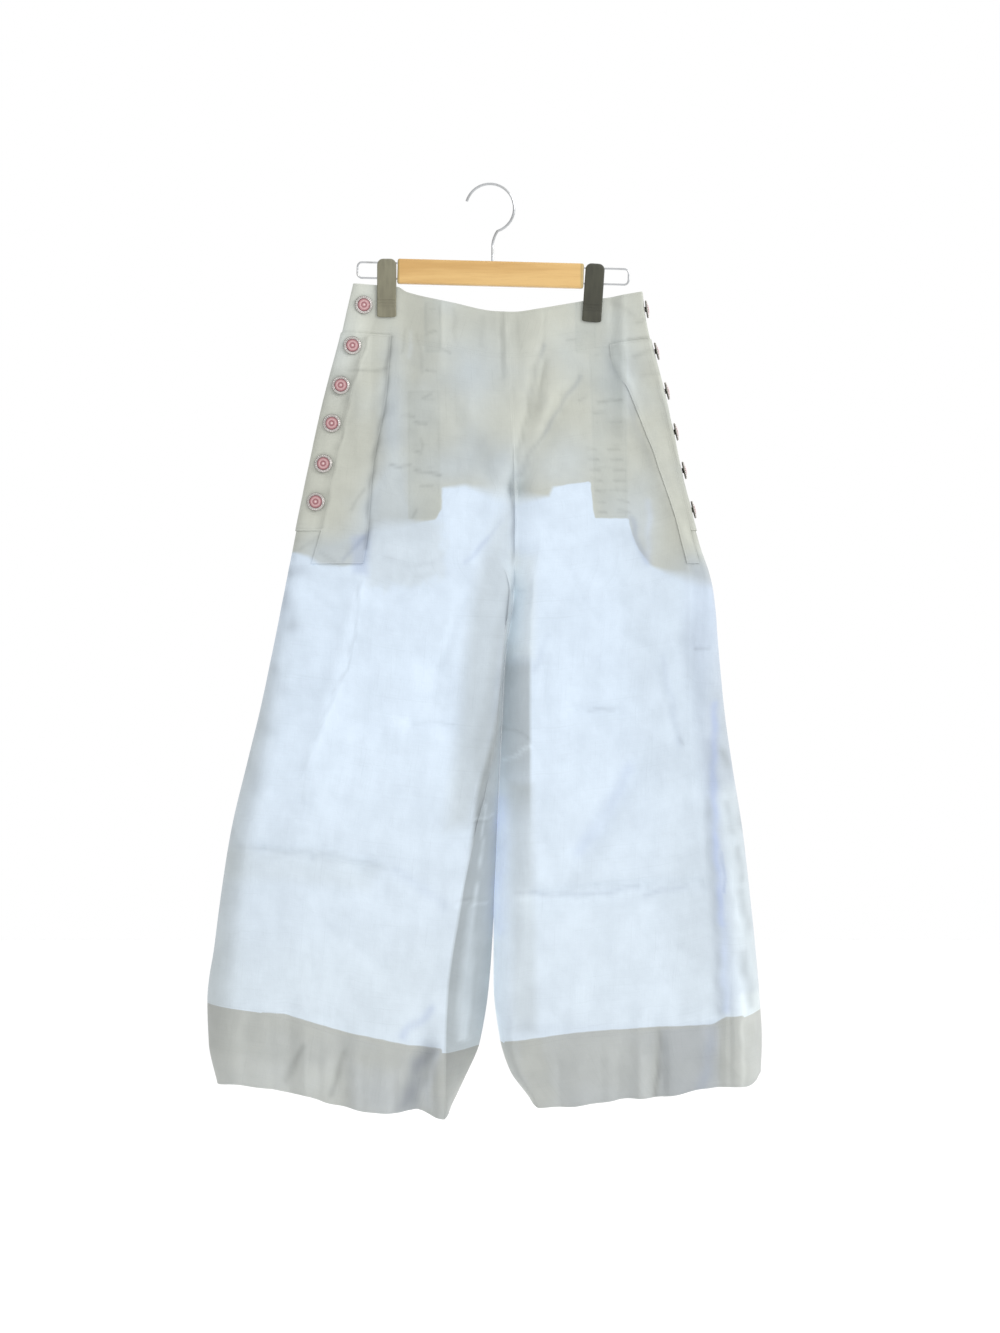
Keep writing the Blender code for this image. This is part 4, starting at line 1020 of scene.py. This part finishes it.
# ---------------------------------------------------------------- materials
class Nodes:
    """The nodes of a material or of the world, added one after the other."""

    def __init__(self, data, shader="Principled BSDF"):
        data.use_nodes = True
        self.data = data
        self.tree = data.node_tree
        self.shader = self.tree.nodes[shader]

    def add(self, kind, settings=None, **inputs):
        """A node with its settings; an input is a value or another node's output."""
        node = self.tree.nodes.new(kind)
        for key, value in (settings or {}).items():
            setattr(node, key, value)
        for key, value in inputs.items():
            self.put(node, key.replace("_", " "), value)
        return node

    def put(self, node, key, value):
        socket = node.inputs[key]
        if isinstance(value, bpy.types.NodeSocket):
            self.tree.links.new(value, socket)
        else:
            socket.default_value = value

    def finish(self, **inputs):
        """Sets the shader's own inputs and gives back the material or world."""
        for key, value in inputs.items():
            self.put(self.shader, key.replace("_", " "), value)
        return self.data

    def math(self, operation, *numbers, clamp=False):
        node = self.add("ShaderNodeMath", {"operation": operation, "use_clamp": clamp})
        for index, number in enumerate(numbers):
            self.put(node, index, number)
        return node.outputs[0]

    def plus(self, a, b, clamp=False):
        return self.math("ADD", a, b, clamp=clamp)

    def minus(self, a, b):
        return self.math("SUBTRACT", a, b)

    def times(self, a, b):
        return self.math("MULTIPLY", a, b)

    def off(self, value, middle):
        """The distance from a middle value."""
        return self.math("ABSOLUTE", self.minus(value, middle))

    def scaled(self, value, factor, offset):
        return self.math("MULTIPLY_ADD", value, factor, offset)

    def step(self, value, low, high):
        """0 below low, 1 above high, smooth in between."""
        return self.add("ShaderNodeMapRange", {"interpolation_type": "SMOOTHSTEP"}, Value=value,
                        From_Min=low, From_Max=high).outputs[0]

    def blend(self, factor, a, b, kind="MIX"):
        node = self.add("ShaderNodeMix", {"data_type": "RGBA", "blend_type": kind})
        for key, value in ((0, factor), (6, a), (7, b)):
            self.put(node, key, value)
        return node.outputs[2]

    def attribute(self, name):
        return self.add("ShaderNodeAttribute", {"attribute_name": name}).outputs["Fac"]

    def place(self):
        """Where a point lies on its own object, in metres."""
        return self.add("ShaderNodeTexCoord").outputs["Object"]

    def parts(self, vector):
        return self.add("ShaderNodeSeparateXYZ", Vector=vector).outputs

    def stretched(self, vector, scale):
        return self.add("ShaderNodeMapping", Vector=vector, Scale=scale).outputs[0]

    def noise(self, vector, scale, detail=2.0, roughness=0.5):
        return self.add("ShaderNodeTexNoise", Vector=vector, Scale=scale, Detail=detail,
                        Roughness=roughness).outputs["Fac"]

    def grey(self, value):
        return self.add("ShaderNodeCombineColor", Red=value, Green=value, Blue=value).outputs[0]

    def bump(self, strength, distance, height):
        return self.add("ShaderNodeBump", Strength=strength, Distance=distance,
                        Height=height).outputs[0]


def new_material(name):
    """The nodes of a new, plain material."""
    return Nodes(bpy.data.materials.new(name))


# Colours of the cloth as the light comes through it: one layer, several, and the deep hems.
SINGLE = (0.640, 0.735, 0.840, 1.0)
SINGLE_LOW = (0.635, 0.715, 0.790, 1.0)
DOUBLE = (0.515, 0.528, 0.466, 1.0)
DOUBLE_COOL = (0.515, 0.563, 0.578, 1.0)
TRIPLE = (0.445, 0.475, 0.445, 1.0)
BAG = (0.550, 0.605, 0.630, 1.0)
HEM = (0.445, 0.462, 0.440, 1.0)
HEM_COOL = (0.420, 0.450, 0.475, 1.0)
# BLUE tints the painted shade and painted highlights along folds and creases; NEUTRAL greys the
# painted shade of the side faces and the cloth seen through.
BLUE = (0.470, 0.560, 0.780, 1.0)
NEUTRAL = (0.590, 0.645, 0.650, 1.0)
SEWN = (0.25, 0.27, 0.25, 1.0)
LOW_CLOTH = (-0.95, -0.55)  # the single cloth turns a little duller between these heights
HOLE_SPACING = 0.0262       # metres between two buttonholes of an inner strip
STITCH_INSET = 2.4          # millimetres from an edge to its line of stitches
STITCHES = 380.0            # to the metre
STITCH_SHARE = 0.68         # of a stitch's run is thread, the rest a gap


def buttonholes(n, place, height, strip):
    """The broken marks of the holes along an inner strip, and the line round its edge."""
    hole = n.off(n.math("FRACT", n.math("DIVIDE", height, HOLE_SPACING)), 0.5)
    hole = n.times(n.minus(1.0, n.step(hole, 0.02, 0.09)), n.step(strip, 4.0, 7.0))
    border = n.minus(1.0, n.step(n.off(strip, 2.2), 0.2, 0.8))
    broken = n.scaled(n.step(n.noise(place, 70.0), 0.42, 0.62), 0.09, 0.01)
    return n.times(n.math("MAXIMUM", hole, border), broken)


def layers(n, place, warm, cool, doubled):
    """The colour of the cloth by its number of layers and the areas on it."""
    height = n.parts(place)["Z"]
    colour = n.blend(n.step(height, *LOW_CLOTH), SINGLE_LOW, SINGLE)
    wobble = n.minus(n.noise(place, 60.0), 0.5)
    colour = n.blend(n.attribute("neutral"), colour, NEUTRAL)
    bag = n.step(n.plus(n.attribute("bag"), n.times(wobble, 30.0)), -11.0, 7.0)
    colour = n.blend(n.times(bag, 0.5), colour, BAG)
    patchy = n.times(n.step(n.noise(place, 14.0, 3.0), 0.40, 0.68), 0.22)
    grey = n.blend(n.plus(n.attribute("cool"), patchy, clamp=True), warm, cool)
    blur = n.attribute("blur")
    edge = n.plus(n.attribute("double"), n.times(wobble, 3.5))
    share = n.step(n.math("DIVIDE", edge, blur), -1.0, 1.0) if not doubled else 1.0
    colour = n.blend(share, colour, grey)
    if not doubled:
        hemmed = n.plus(n.attribute("hemmed"), n.times(wobble, 2.0))
        colour = n.blend(n.step(hemmed, -0.7, 0.9), colour, HEM)
        strip = n.attribute("strip")
        on_strip = n.times(n.step(strip, -0.6, 0.6), n.step(patchy, -0.3, 0.2))
        colour = n.blend(n.times(on_strip, 0.40), colour, TRIPLE)
        colour = n.blend(buttonholes(n, place, height, strip), colour, SEWN)
    return n.blend(n.times(n.attribute("blue"), 0.75), colour, BLUE)


def stitches(n, uv):
    """A dashed line of stitches along the edges of a piece, from 0 to 1."""
    parts = n.parts(uv)
    lines = []
    for rim, run in (("rim_down", parts["X"]), ("rim_across", parts["Y"])):
        line = n.minus(1.0, n.step(n.off(n.attribute(rim), STITCH_INSET), 0.18, 0.42))
        dash = n.math("LESS_THAN", n.math("FRACT", n.times(run, STITCHES)), STITCH_SHARE)
        lines.append(n.times(line, dash))
    return n.math("MAXIMUM", *lines)


def cotton(name, warm=DOUBLE, cool=DOUBLE_COOL, doubled=False):
    """Thin plain-weave cotton. Its zones come from the piece's own attributes."""
    n = new_material(name)
    uv = n.add("ShaderNodeUVMap", {"uv_map": "cut"}).outputs[0]
    place = n.place()
    colour = layers(n, place, warm, cool, doubled)

    cloudy = n.noise(place, 8.0, 4.0, 0.62)
    mottled = n.step(n.noise(place, 30.0, 3.0, 0.55), 0.3, 0.7)
    warp = n.noise(n.stretched(uv, (1400.0, 26.0, 1.0)), 1.0, 2.0, 0.6)
    weft = n.noise(n.stretched(uv, (26.0, 1400.0, 1.0)), 1.0, 2.0, 0.6)
    threads = n.plus(warp, weft)
    slub_warp = n.step(n.noise(n.stretched(uv, (420.0, 9.0, 1.0)), 1.0, 1.0), 0.60, 0.78)
    slub_weft = n.step(n.noise(n.stretched(uv, (9.0, 420.0, 1.0)), 1.0, 1.0), 0.60, 0.78)
    slubs = n.plus(slub_warp, slub_weft)
    sewing = stitches(n, uv)

    level = n.scaled(cloudy, 0.12, 0.88)
    for what, factor, offset in ((mottled, 0.07, 0.965), (threads, 0.08, 0.92),
                                 (slubs, -0.03, 1.0), (sewing, -0.05, 1.0)):
        level = n.times(level, n.scaled(what, factor, offset))
    level = n.times(level, n.attribute("shade"))
    colour = n.blend(1.0, colour, n.grey(level), "MULTIPLY")
    # Painted glow: deep between the legs the cloth gives off its own colour as emission.
    glow = n.attribute("glow")

    crumple = n.plus(n.noise(place, 48.0, 4.0, 0.6), n.times(n.noise(place, 17.0), 1.6))
    relief = n.plus(n.scaled(threads, 0.10, 0.0), n.times(crumple, 1.2))
    relief = n.plus(relief, n.times(slubs, 0.08))
    relief = n.minus(relief, n.times(sewing, 0.25))
    return n.finish(Base_Color=colour, Emission_Color=colour, Emission_Strength=glow,
                    Roughness=0.82, Sheen_Weight=0.12, Sheen_Roughness=0.45,
                    Specular_IOR_Level=0.25, Normal=n.bump(0.4, 0.0015, relief))


WOOD_PALE = (0.68, 0.44, 0.165, 1.0)
WOOD_RING = (0.56, 0.33, 0.105, 1.0)
WOOD_PORE = (0.42, 0.22, 0.06, 1.0)
WOOD_END = (0.30, 0.26, 0.10, 1.0)
BAR_ENDS = (0.1035, 0.1055)     # metres from the middle, where the sawn ends start


def wood():
    """Lacquered pale wood with its grain along the bar, darker at the two sawn ends."""
    n = new_material("hanger_wood")
    place = n.place()
    rings = n.noise(n.stretched(place, (5.0, 60.0, 90.0)), 1.0, 4.0, 0.6)
    pores = n.step(n.noise(n.stretched(place, (60.0, 900.0, 1500.0)), 1.0), 0.55, 0.75)
    colour = n.blend(n.step(rings, 0.35, 0.7), WOOD_PALE, WOOD_RING)
    colour = n.blend(n.times(pores, 0.22), colour, WOOD_PORE)
    ends = n.step(n.math("ABSOLUTE", n.parts(place)["X"]), *BAR_ENDS)
    colour = n.blend(n.times(ends, 0.55), colour, WOOD_END)
    return n.finish(Base_Color=colour, Roughness=0.42, Coat_Weight=0.35, Coat_Roughness=0.2,
                    Normal=n.bump(0.15, 0.0005, pores))


def plated_wire():
    """Plated steel wire, a little dulled where it has been handled."""
    n = new_material("hanger_wire")
    worn = n.step(n.noise(n.place(), 90.0, 3.0), 0.45, 0.75)
    colour = n.blend(worn, (0.46, 0.47, 0.48, 1.0), (0.36, 0.36, 0.35, 1.0))
    return n.finish(Base_Color=colour, Metallic=1.0, Roughness=n.scaled(worn, 0.12, 0.22))


def moulded(name, colour, streak):
    """Moulded plastic with faint flow marks and scuffs."""
    n = new_material(name)
    place = n.place()
    flow = n.noise(n.stretched(place, (160.0, 160.0, 30.0)), 1.0, 3.0)
    scuffs = n.step(n.noise(n.stretched(place, (300.0, 300.0, 1500.0)), 1.0), 0.62, 0.8)
    colour = n.blend(n.step(flow, 0.3, 0.7), colour, streak)
    return n.finish(Base_Color=colour, Roughness=n.scaled(scuffs, 0.2, 0.38),
                    Normal=n.bump(0.12, 0.0004, scuffs))


# ---------------------------------------------------------------- buttons and clips
Turn = namedtuple("Turn", "radius height")
FACE_RADIUS = 7.4
FACE_PROFILE = table(       # the face of a button with its raised rings
    Turn,
    (0, 4.9), (0.8, 4.8), (1.2, 4.3), (1.7, 4.0), (2.2, 4.2), (2.7, 4.6), (3.2, 4.3),
    (3.7, 3.9), (4.2, 4.2), (4.7, 4.5), (5.2, 4.2), (5.6, 3.8), (6.1, 4.0), (6.6, 4.1),
    (7.1, 3.6), (FACE_RADIUS, 2.4),
)
RIM_PROFILE = table(
    Turn,
    (7.3, 2.4), (7.6, 3.2), (8.1, 3.5), (8.5, 2.9), (9.8, 2.8), (10.5, 2.5), (10.5, 2.0),
    (9.6, 1.4), (3.0, 1.2), (3.0, 0), (0, 0),
)
BUTTON_SEGMENTS = 44
BEADS = 26
BEAD_RADIUS = 0.85
BEAD_CIRCLE = 9.3
BEAD_HEIGHT = 3.1
BUTTONS_A_SIDE = 6
# Radii that tell the middle, the outer part and the rim of a CAD button apart.
CAD_MIDDLE = 3.5
CAD_OUTER = 8.0
CAD_RIM = 10.4

# The pale middle is a painted highlight and the dark edge painted shade; the deep rings are partly
# the button's own colour and partly painted shade in its grooves.
PINK_PALE = (0.54, 0.34, 0.345, 1.0)
PINK = (0.41, 0.21, 0.22, 1.0)
PINK_DEEP = (0.31, 0.125, 0.14, 1.0)
PINK_MIDDLE_HIGHLIGHT = (0.70, 0.57, 0.56, 1.0)
PINK_EDGE_SHADE = (0.24, 0.13, 0.13, 1.0)
FACE_RINGS = (              # colours by the share of the face's radius, between middle and edge
    (0.20, PINK_PALE), (0.28, PINK_DEEP), (0.44, PINK_DEEP), (0.52, PINK_PALE),
    (0.68, PINK_PALE), (0.77, PINK), (0.92, PINK_DEEP),
)
RIM_BRIGHT = (0.70, 0.67, 0.65, 1.0)
RIM_TARNISHED = (0.42, 0.39, 0.37, 1.0)
RIM_LOW = (0.17, 0.165, 0.14, 1.0)
RIM_LOW_HEIGHTS = (0.0023, 0.0031)      # metres above the button's foot


def button_face():
    """The moulded face of a button: raised pale rings on dusty pink, darker in the grooves, partly
    its own colour and partly painted shade, with a painted highlight in the middle and painted shade
    at the edge.
    """
    n = new_material("button_face")
    place = n.place()
    parts = n.parts(place)
    radius = n.math("SQRT", n.plus(n.times(parts["X"], parts["X"]),
                                   n.times(parts["Y"], parts["Y"])))
    mottled = n.noise(place, 700.0)
    ramp = n.add("ShaderNodeValToRGB", Fac=n.math("DIVIDE", radius, FACE_RADIUS * MM))
    elements = ramp.color_ramp.elements
    for share, colour in FACE_RINGS:
        elements.new(share).color = colour
    elements[0].color = PINK_MIDDLE_HIGHLIGHT
    elements[-1].color = PINK_EDGE_SHADE
    worn = n.grey(n.scaled(mottled, 0.5, 0.75))
    colour = n.blend(1.0, ramp.outputs["Color"], worn, "MULTIPLY")
    return n.finish(Base_Color=colour, Roughness=0.35, Normal=n.bump(0.2, 0.0003, mottled))


def button_metal():
    """The beaded rim of a button: bright where it stands up, dark low down between the beads."""
    n = new_material("button_metal")
    place = n.place()
    tarnish = n.step(n.noise(place, 900.0, 3.0), 0.4, 0.7)
    colour = n.blend(tarnish, RIM_BRIGHT, RIM_TARNISHED)
    low = n.minus(1.0, n.step(n.parts(place)["Z"], *RIM_LOW_HEIGHTS))
    return n.finish(Base_Color=n.blend(low, colour, RIM_LOW), Metallic=0.8,
                    Roughness=n.scaled(tarnish, 0.2, 0.25))


def around(radius, height, angle):
    """A place at an angle about Z, in metres."""
    return (radius * math.cos(angle) * MM, radius * math.sin(angle) * MM, height * MM)


def marked(faces, slot):
    """Smooth faces with one of the mesh's materials."""
    for face in faces:
        face.material_index = slot
        face.smooth = True


def turned(bm, profile, slot):
    """Faces of a profile turned about Z."""
    rings = []
    for radius, height in profile:
        count = BUTTON_SEGMENTS if radius else 1
        rings.append([bm.verts.new(around(radius, height, 2 * math.pi * i / count))
                      for i in range(count)])
    for upper, lower in zip(rings, rings[1:]):
        for i in range(BUTTON_SEGMENTS):
            corners = [upper[i % len(upper)], upper[(i + 1) % len(upper)],
                       lower[(i + 1) % len(lower)], lower[i % len(lower)]]
            marked([bm.faces.new(list(dict.fromkeys(corners)))], slot)


def finished_mesh(bm, name, materials):
    """The mesh of a bmesh, with its faces all turned outward."""
    bmesh.ops.recalc_face_normals(bm, faces=bm.faces)
    mesh = bpy.data.meshes.new(name)
    bm.to_mesh(mesh)
    bm.free()
    for material in materials:
        mesh.materials.append(material)
    return mesh


def button_mesh():
    """A button's face, its rim and the beads round it."""
    bm = bmesh.new()
    turned(bm, FACE_PROFILE, 0)
    turned(bm, RIM_PROFILE, 1)
    for i in range(BEADS):
        made = bmesh.ops.create_icosphere(bm, subdivisions=2, radius=BEAD_RADIUS * MM)
        middle = around(BEAD_CIRCLE, BEAD_HEIGHT, 2 * math.pi * i / BEADS)
        bmesh.ops.translate(bm, verts=made["verts"], vec=middle)
        marked({face for vert in made["verts"] for face in vert.link_faces}, 1)
    return finished_mesh(bm, "button", (button_face(), button_metal()))


def node_points(name):
    """The vertices of a CAD node, in the frame's coordinates."""
    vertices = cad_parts[name].data.vertices
    points = np.empty(len(vertices) * 3)
    vertices.foreach_get("co", points)
    return points.reshape(-1, 3)


def make_button(name, mesh):
    """A finer button on the axis of a CAD button."""
    points = node_points(name)
    middle = (points.min(axis=0) + points.max(axis=0)) / 2
    _, _, axes = np.linalg.svd(points - middle)
    axis = axes[2]
    heights = (points - middle) @ axis
    radii = np.linalg.norm(points - middle - heights[:, None] * axis, axis=1)
    if heights[radii > CAD_OUTER * MM].mean() < heights[radii < CAD_MIDDLE * MM].mean():
        axis, heights = -axis, -heights
    centre = points[radii > CAD_RIM * MM].mean(axis=0)
    thing = bpy.data.objects.new(f"fine_{name}", mesh)
    thing.location = centre + axis * (heights.min() - ((centre - middle) @ axis))
    thing.rotation_euler = Vector(axis).to_track_quat("Z", "Y").to_euler()
    stand_for(thing, name)


def make_buttons():
    """The two rows of buttons, which share one mesh."""
    mesh = button_mesh()
    for side in ("left", "right"):
        for number in range(1, BUTTONS_A_SIDE + 1):
            make_button(f"button_{side}_{number}", mesh)


CLIP_WIDTH = 22.0
CLIP_HEIGHT = 68.0
CLIP_CORNER = 7.0           # radius of a clip's corners, seen from the front
CLIP_CORNER_REACH = 20.0    # the rounding of the upper corners dies out this far down
CLIP_END_REACH = 6.0        # that of the lower ones starts this far above the end
CLIP_END_ROUND = 0.25       # and is this share of the upper ones'
CLIP_BEVEL = 1.2            # width of the softened long edges
CLIP_BEVEL_DEPTH = 0.16     # share of the thickness that they lose
CLIP_SLICES = 28
CLIP_PROFILE = (            # y and z of the clip from the side, outside then inside, half of it
    (0.0, 0.0), (2.4, -0.1), (4.2, -0.7), (5.6, -1.9), (6.3, -3.4), (6.5, -5.5),
    (6.5, -20.0), (6.5, -33.0), (6.1, -36.0), (5.75, -44.0), (5.5, -46.0), (5.5, -47.5),
    (5.05, -48.0), (5.05, -49.0), (5.4, -49.5), (5.35, -51.0), (4.95, -51.5), (4.95, -52.5),
    (5.25, -53.0), (5.2, -54.5), (4.85, -55.0), (4.85, -56.0), (5.1, -56.5), (4.9, -66.0),
    (4.5, -67.4), (3.8, -68.0), (2.8, -68.0), (2.0, -67.4), (1.85, -66.5), (1.85, -49.0),
    (3.5, -40.0), (3.5, -5.0), (2.6, -3.2), (0.0, -2.8),
)
CLIP_INSIDE_Y = 3.6         # what lies within, below the crown, is the clip's inside
CLIP_CROWN_Z = -2.5


def clip_mesh(name, finish):
    """The clip's profile carried across its width, its corners rounded from the front."""
    loop = CLIP_PROFILE + tuple((-y, z) for y, z in CLIP_PROFILE[-2:0:-1])
    half = CLIP_WIDTH / 2
    bm = bmesh.new()
    rings = []
    for i in range(CLIP_SLICES + 1):
        x = -half * math.cos(math.pi * i / CLIP_SLICES)
        past = max(abs(x) - (half - CLIP_CORNER), 0.0) / CLIP_CORNER
        fall = CLIP_CORNER * (1 - math.sqrt(max(1 - past**2, 0.0)))
        thin = 1 - CLIP_BEVEL_DEPTH * max((abs(x) - half + CLIP_BEVEL) / CLIP_BEVEL, 0.0) ** 2
        ring = []
        for y, z in loop:
            near_top = max(1 + z / CLIP_CORNER_REACH, 0.0)
            near_end = max((-z - CLIP_HEIGHT + CLIP_END_REACH) / CLIP_END_REACH, 0.0)
            down = fall * near_top**2 - CLIP_END_ROUND * fall * near_end
            outside = abs(y) > CLIP_INSIDE_Y or z > CLIP_CROWN_Z
            y_fine = y * thin if outside else y
            ring.append(bm.verts.new((x * MM, y_fine * MM, (z - down) * MM)))
        rings.append(ring)
    for first, second in zip(rings, rings[1:]):
        for j in range(len(loop)):
            k = (j + 1) % len(loop)
            bm.faces.new((first[j], first[k], second[k], second[j]))
    bm.faces.new(rings[0])
    bm.faces.new(rings[-1])
    mesh = finished_mesh(bm, name, (finish,))
    mesh.shade_smooth()
    mesh.set_sharp_from_angle(angle=math.radians(32))
    return mesh


def make_hanger():
    """Finer clips, and the finishes of the bar, hook and rails, which keep their CAD solids."""
    for clip in CLIPS:
        finish = moulded(clip.name, clip.colour, clip.streak)
        thing = bpy.data.objects.new(f"fine_{clip.name}", clip_mesh(clip.name, finish))
        thing.location = (clip.across * MM, 0.0, -clip.top * MM)
        thing.rotation_euler = (0.0, math.radians(clip.lean), 0.0)
        stand_for(thing, clip.name)
    wire = plated_wire()
    for name, finish in (("hanger_bar", wood()), ("hook", wire), ("rail_left", wire),
                         ("rail_right", wire)):
        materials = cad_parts[name].data.materials
        materials.clear()
        materials.append(finish)


# ---------------------------------------------------------------- cloth
Part = namedtuple("Part", "name slot top bottom columns lift thickness")


def leg_parts():
    """The pieces of a leg, from the panels to the inner layers."""
    last = FRONT_COLUMNS + BACK_COLUMNS
    fold = FRONT_ZONES.inner
    lap = fold + FRONT_ZONES.face
    corner = lap + FRONT_ZONES.lap
    under = -(SHELL + LAY_GAP)
    deeper = under - INNER_SHELL - LAY_GAP
    over = LAY_GAP + STRIP_SHELL
    rows = (    # levels, first and last column (the back runs down), lift and thickness
        ("front", "panel", WAIST_SEAM, HEM_SEAM, 0, FRONT_COLUMNS, 0.0, SHELL),
        ("back", "panel", WAIST_SEAM, HEM_SEAM, last, FRONT_COLUMNS, 0.0, SHELL),
        ("hem_band", "hem", HEM_SEAM, HEM_BOTTOM, 0, last - 1, 0.0, DOUBLE_SHELL),
        ("button_strip", "strip", WAIST_SEAM, STRIP_END, corner, FRONT_COLUMNS, over, STRIP_SHELL),
        ("side_lap", "strip", WAIST_SEAM, LAP_END, lap, corner, over, STRIP_SHELL),
        ("facing", "inside", FACING_TOP, FACING_END, FACING_START, lap, under, INNER_SHELL),
        ("buttonhole_strip", "inside", FACING_TOP, HOLE_STRIP_END, fold + HOLE_STRIP_START,
         fold + HOLE_STRIP_LAST, deeper, INNER_SHELL),
        ("pocket_bag", "inside", HOLE_STRIP_END, BAG_END, fold + HOLE_STRIP_START, lap, under,
         INNER_SHELL),
    )
    parts = []
    for name, slot, top, bottom, start, end, lift, thickness in rows:
        way = 1 if end > start else -1
        columns = np.arange(start, end + way, way)
        parts.append(Part(name, f"cotton_{slot}", top, bottom, columns, lift, thickness))
    return parts


def make_cloth(surfaces):
    """All the pieces of cloth, by node."""
    finishes = {slot: cotton(slot) for slot in
                ("cotton_panel", "cotton_waistband", "cotton_strip", "cotton_inside")}
    finishes["cotton_hem"] = cotton("cotton_hem", HEM, HEM_COOL, doubled=True)
    parts = leg_parts()
    pieces = {}
    for part in parts[:2]:
        node = f"waistband_{part.name}"
        pieces[node] = waistband(node, surfaces, part.columns, finishes["cotton_waistband"])
    for leg in (LEFT, RIGHT):
        for part in parts:
            pieces[f"{part.name}_{leg.name}"] = leg_piece(leg, surfaces[leg.name], part,
                                                          finishes[part.slot])
    return pieces


# The size that each piece was cut to, in metres; both hems are tubes, given all round.
Cut = namedtuple("Cut", "node width length area hangs_from")
CLIP_NAMES = tuple(clip.name for clip in CLIPS)
CUTS = table(
    Cut,
    ("waistband_front", 0.400, 0.058, 0.0210, CLIP_NAMES),
    ("waistband_back", 0.380, 0.058, 0.0197, CLIP_NAMES),
    ("front_left", 0.385, 0.815, 0.2520, ("waistband_front",)),
    ("front_right", 0.385, 0.810, 0.2330, ("waistband_front",)),
    ("back_left", 0.385, 0.807, 0.2500, ("waistband_back",)),
    ("back_right", 0.380, 0.800, 0.2260, ("waistband_back",)),
    ("hem_band_left", 0.760, 0.094, 0.0600, ("front_left", "back_left")),
    ("hem_band_right", 0.760, 0.082, 0.0560, ("front_right", "back_right")),
    ("button_strip_left", 0.047, 0.236, 0.0098, ("front_left",)),
    ("button_strip_right", 0.041, 0.227, 0.0080, ("front_right",)),
    ("side_lap_left", 0.060, 0.275, 0.0128, ("front_left",)),
    ("side_lap_right", 0.048, 0.276, 0.0075, ("front_right",)),
    ("facing_left", 0.157, 0.164, 0.0218, ("front_left",)),
    ("facing_right", 0.168, 0.168, 0.0218, ("front_right",)),
    ("buttonhole_strip_left", 0.027, 0.177, 0.0042, ("facing_left",)),
    ("buttonhole_strip_right", 0.029, 0.180, 0.0042, ("facing_right",)),
    ("pocket_bag_left", 0.104, 0.088, 0.0079, ("front_left",)),
    ("pocket_bag_right", 0.107, 0.089, 0.0087, ("front_right",)),
)


# ---------------------------------------------------------------- stage, light and camera
PIXEL = 1.15                # millimetres of the real thing for each pixel of the picture
PICTURE_WIDTH = 1000
PICTURE_HEIGHT = 1333
ORIGIN_PIXEL = (490.0, 183.0)
CAMERA_DISTANCE = 4.5
FRONT_FACE_Y = -0.02
FLOOR_DROP = 1.36
FLOOR_SIZE = 14.0
SKY_LEVEL = 0.90            # the surround's strength, and how much it grows to right and top
SKY_GROWTH = (0.34, -0.06, 0.22)

Lamp = namedtuple("Lamp", "name place target size power")
LAMPS = (
    Lamp("key", (2.4, -2.4, 1.0), (0.0, 0.0, -0.55), 1.4, 30.0),
    Lamp("behind", (0.6, 2.6, 0.6), (0.0, 0.0, -0.6), 2.0, 15.0),
)


def make_camera():
    """Straight in front, at the height of the middle of the picture."""
    data = bpy.data.cameras.new("camera")
    data.sensor_fit = "VERTICAL"
    data.sensor_height = 36.0
    data.lens = data.sensor_height * CAMERA_DISTANCE / (PICTURE_HEIGHT * PIXEL * MM)
    data.clip_end = 50.0
    camera = bpy.data.objects.new("camera", data)
    camera.location = ((PICTURE_WIDTH / 2 - ORIGIN_PIXEL[0]) * PIXEL * MM,
                       FRONT_FACE_Y - CAMERA_DISTANCE,
                       -(PICTURE_HEIGHT / 2 - ORIGIN_PIXEL[1]) * PIXEL * MM)
    camera.rotation_euler = (math.radians(90), 0, 0)
    bpy.context.scene.collection.objects.link(camera)
    bpy.context.scene.camera = camera


def make_lamp(lamp):
    """A large soft light that faces its target."""
    data = bpy.data.lights.new(lamp.name, "AREA")
    data.shape = "SQUARE"
    data.size = lamp.size
    data.energy = lamp.power
    thing = bpy.data.objects.new(lamp.name, data)
    thing.location = lamp.place
    way = Vector(lamp.target) - Vector(lamp.place)
    thing.rotation_euler = way.to_track_quat("-Z", "Y").to_euler()
    bpy.context.scene.collection.objects.link(thing)


def make_surround():
    """A white surround that is brighter from the right and above, and plain white behind."""
    n = Nodes(bpy.data.worlds.new("surround"), "Background")
    direction = n.add("ShaderNodeTexCoord").outputs["Generated"]
    lean = n.add("ShaderNodeVectorMath", {"operation": "DOT_PRODUCT"})
    n.put(lean, 0, direction)
    n.put(lean, 1, SKY_GROWTH)
    glow = n.plus(lean.outputs["Value"], SKY_LEVEL)
    is_seen = n.add("ShaderNodeLightPath").outputs["Is Camera Ray"]
    strength = n.add("ShaderNodeMix")
    for key, value in ((0, is_seen), (2, glow), (3, 1.0)):
        n.put(strength, key, value)
    bpy.context.scene.world = n.finish(Color=(1.0, 1.0, 1.0, 1.0), Strength=strength.outputs[0])


def make_floor():
    """A plain pale floor."""
    bpy.ops.mesh.primitive_plane_add(size=FLOOR_SIZE, location=(0, 0, -FLOOR_DROP))
    floor = bpy.context.active_object
    floor.name = "floor"
    n = new_material("pale_floor")
    cloudy = n.noise(n.place(), 1.3)
    colour = n.blend(cloudy, (0.97, 0.97, 0.97, 1.0), (0.985, 0.985, 0.985, 1.0))
    floor.data.materials.append(n.finish(Base_Color=colour, Roughness=0.7))


surfaces = leg_surfaces()
pieces = make_cloth(surfaces)
make_buttons()
make_hanger()
make_camera()
make_surround()
for lamp in LAMPS:
    make_lamp(lamp)
bpy.context.scene.view_settings.view_transform = "Standard"
make_floor()
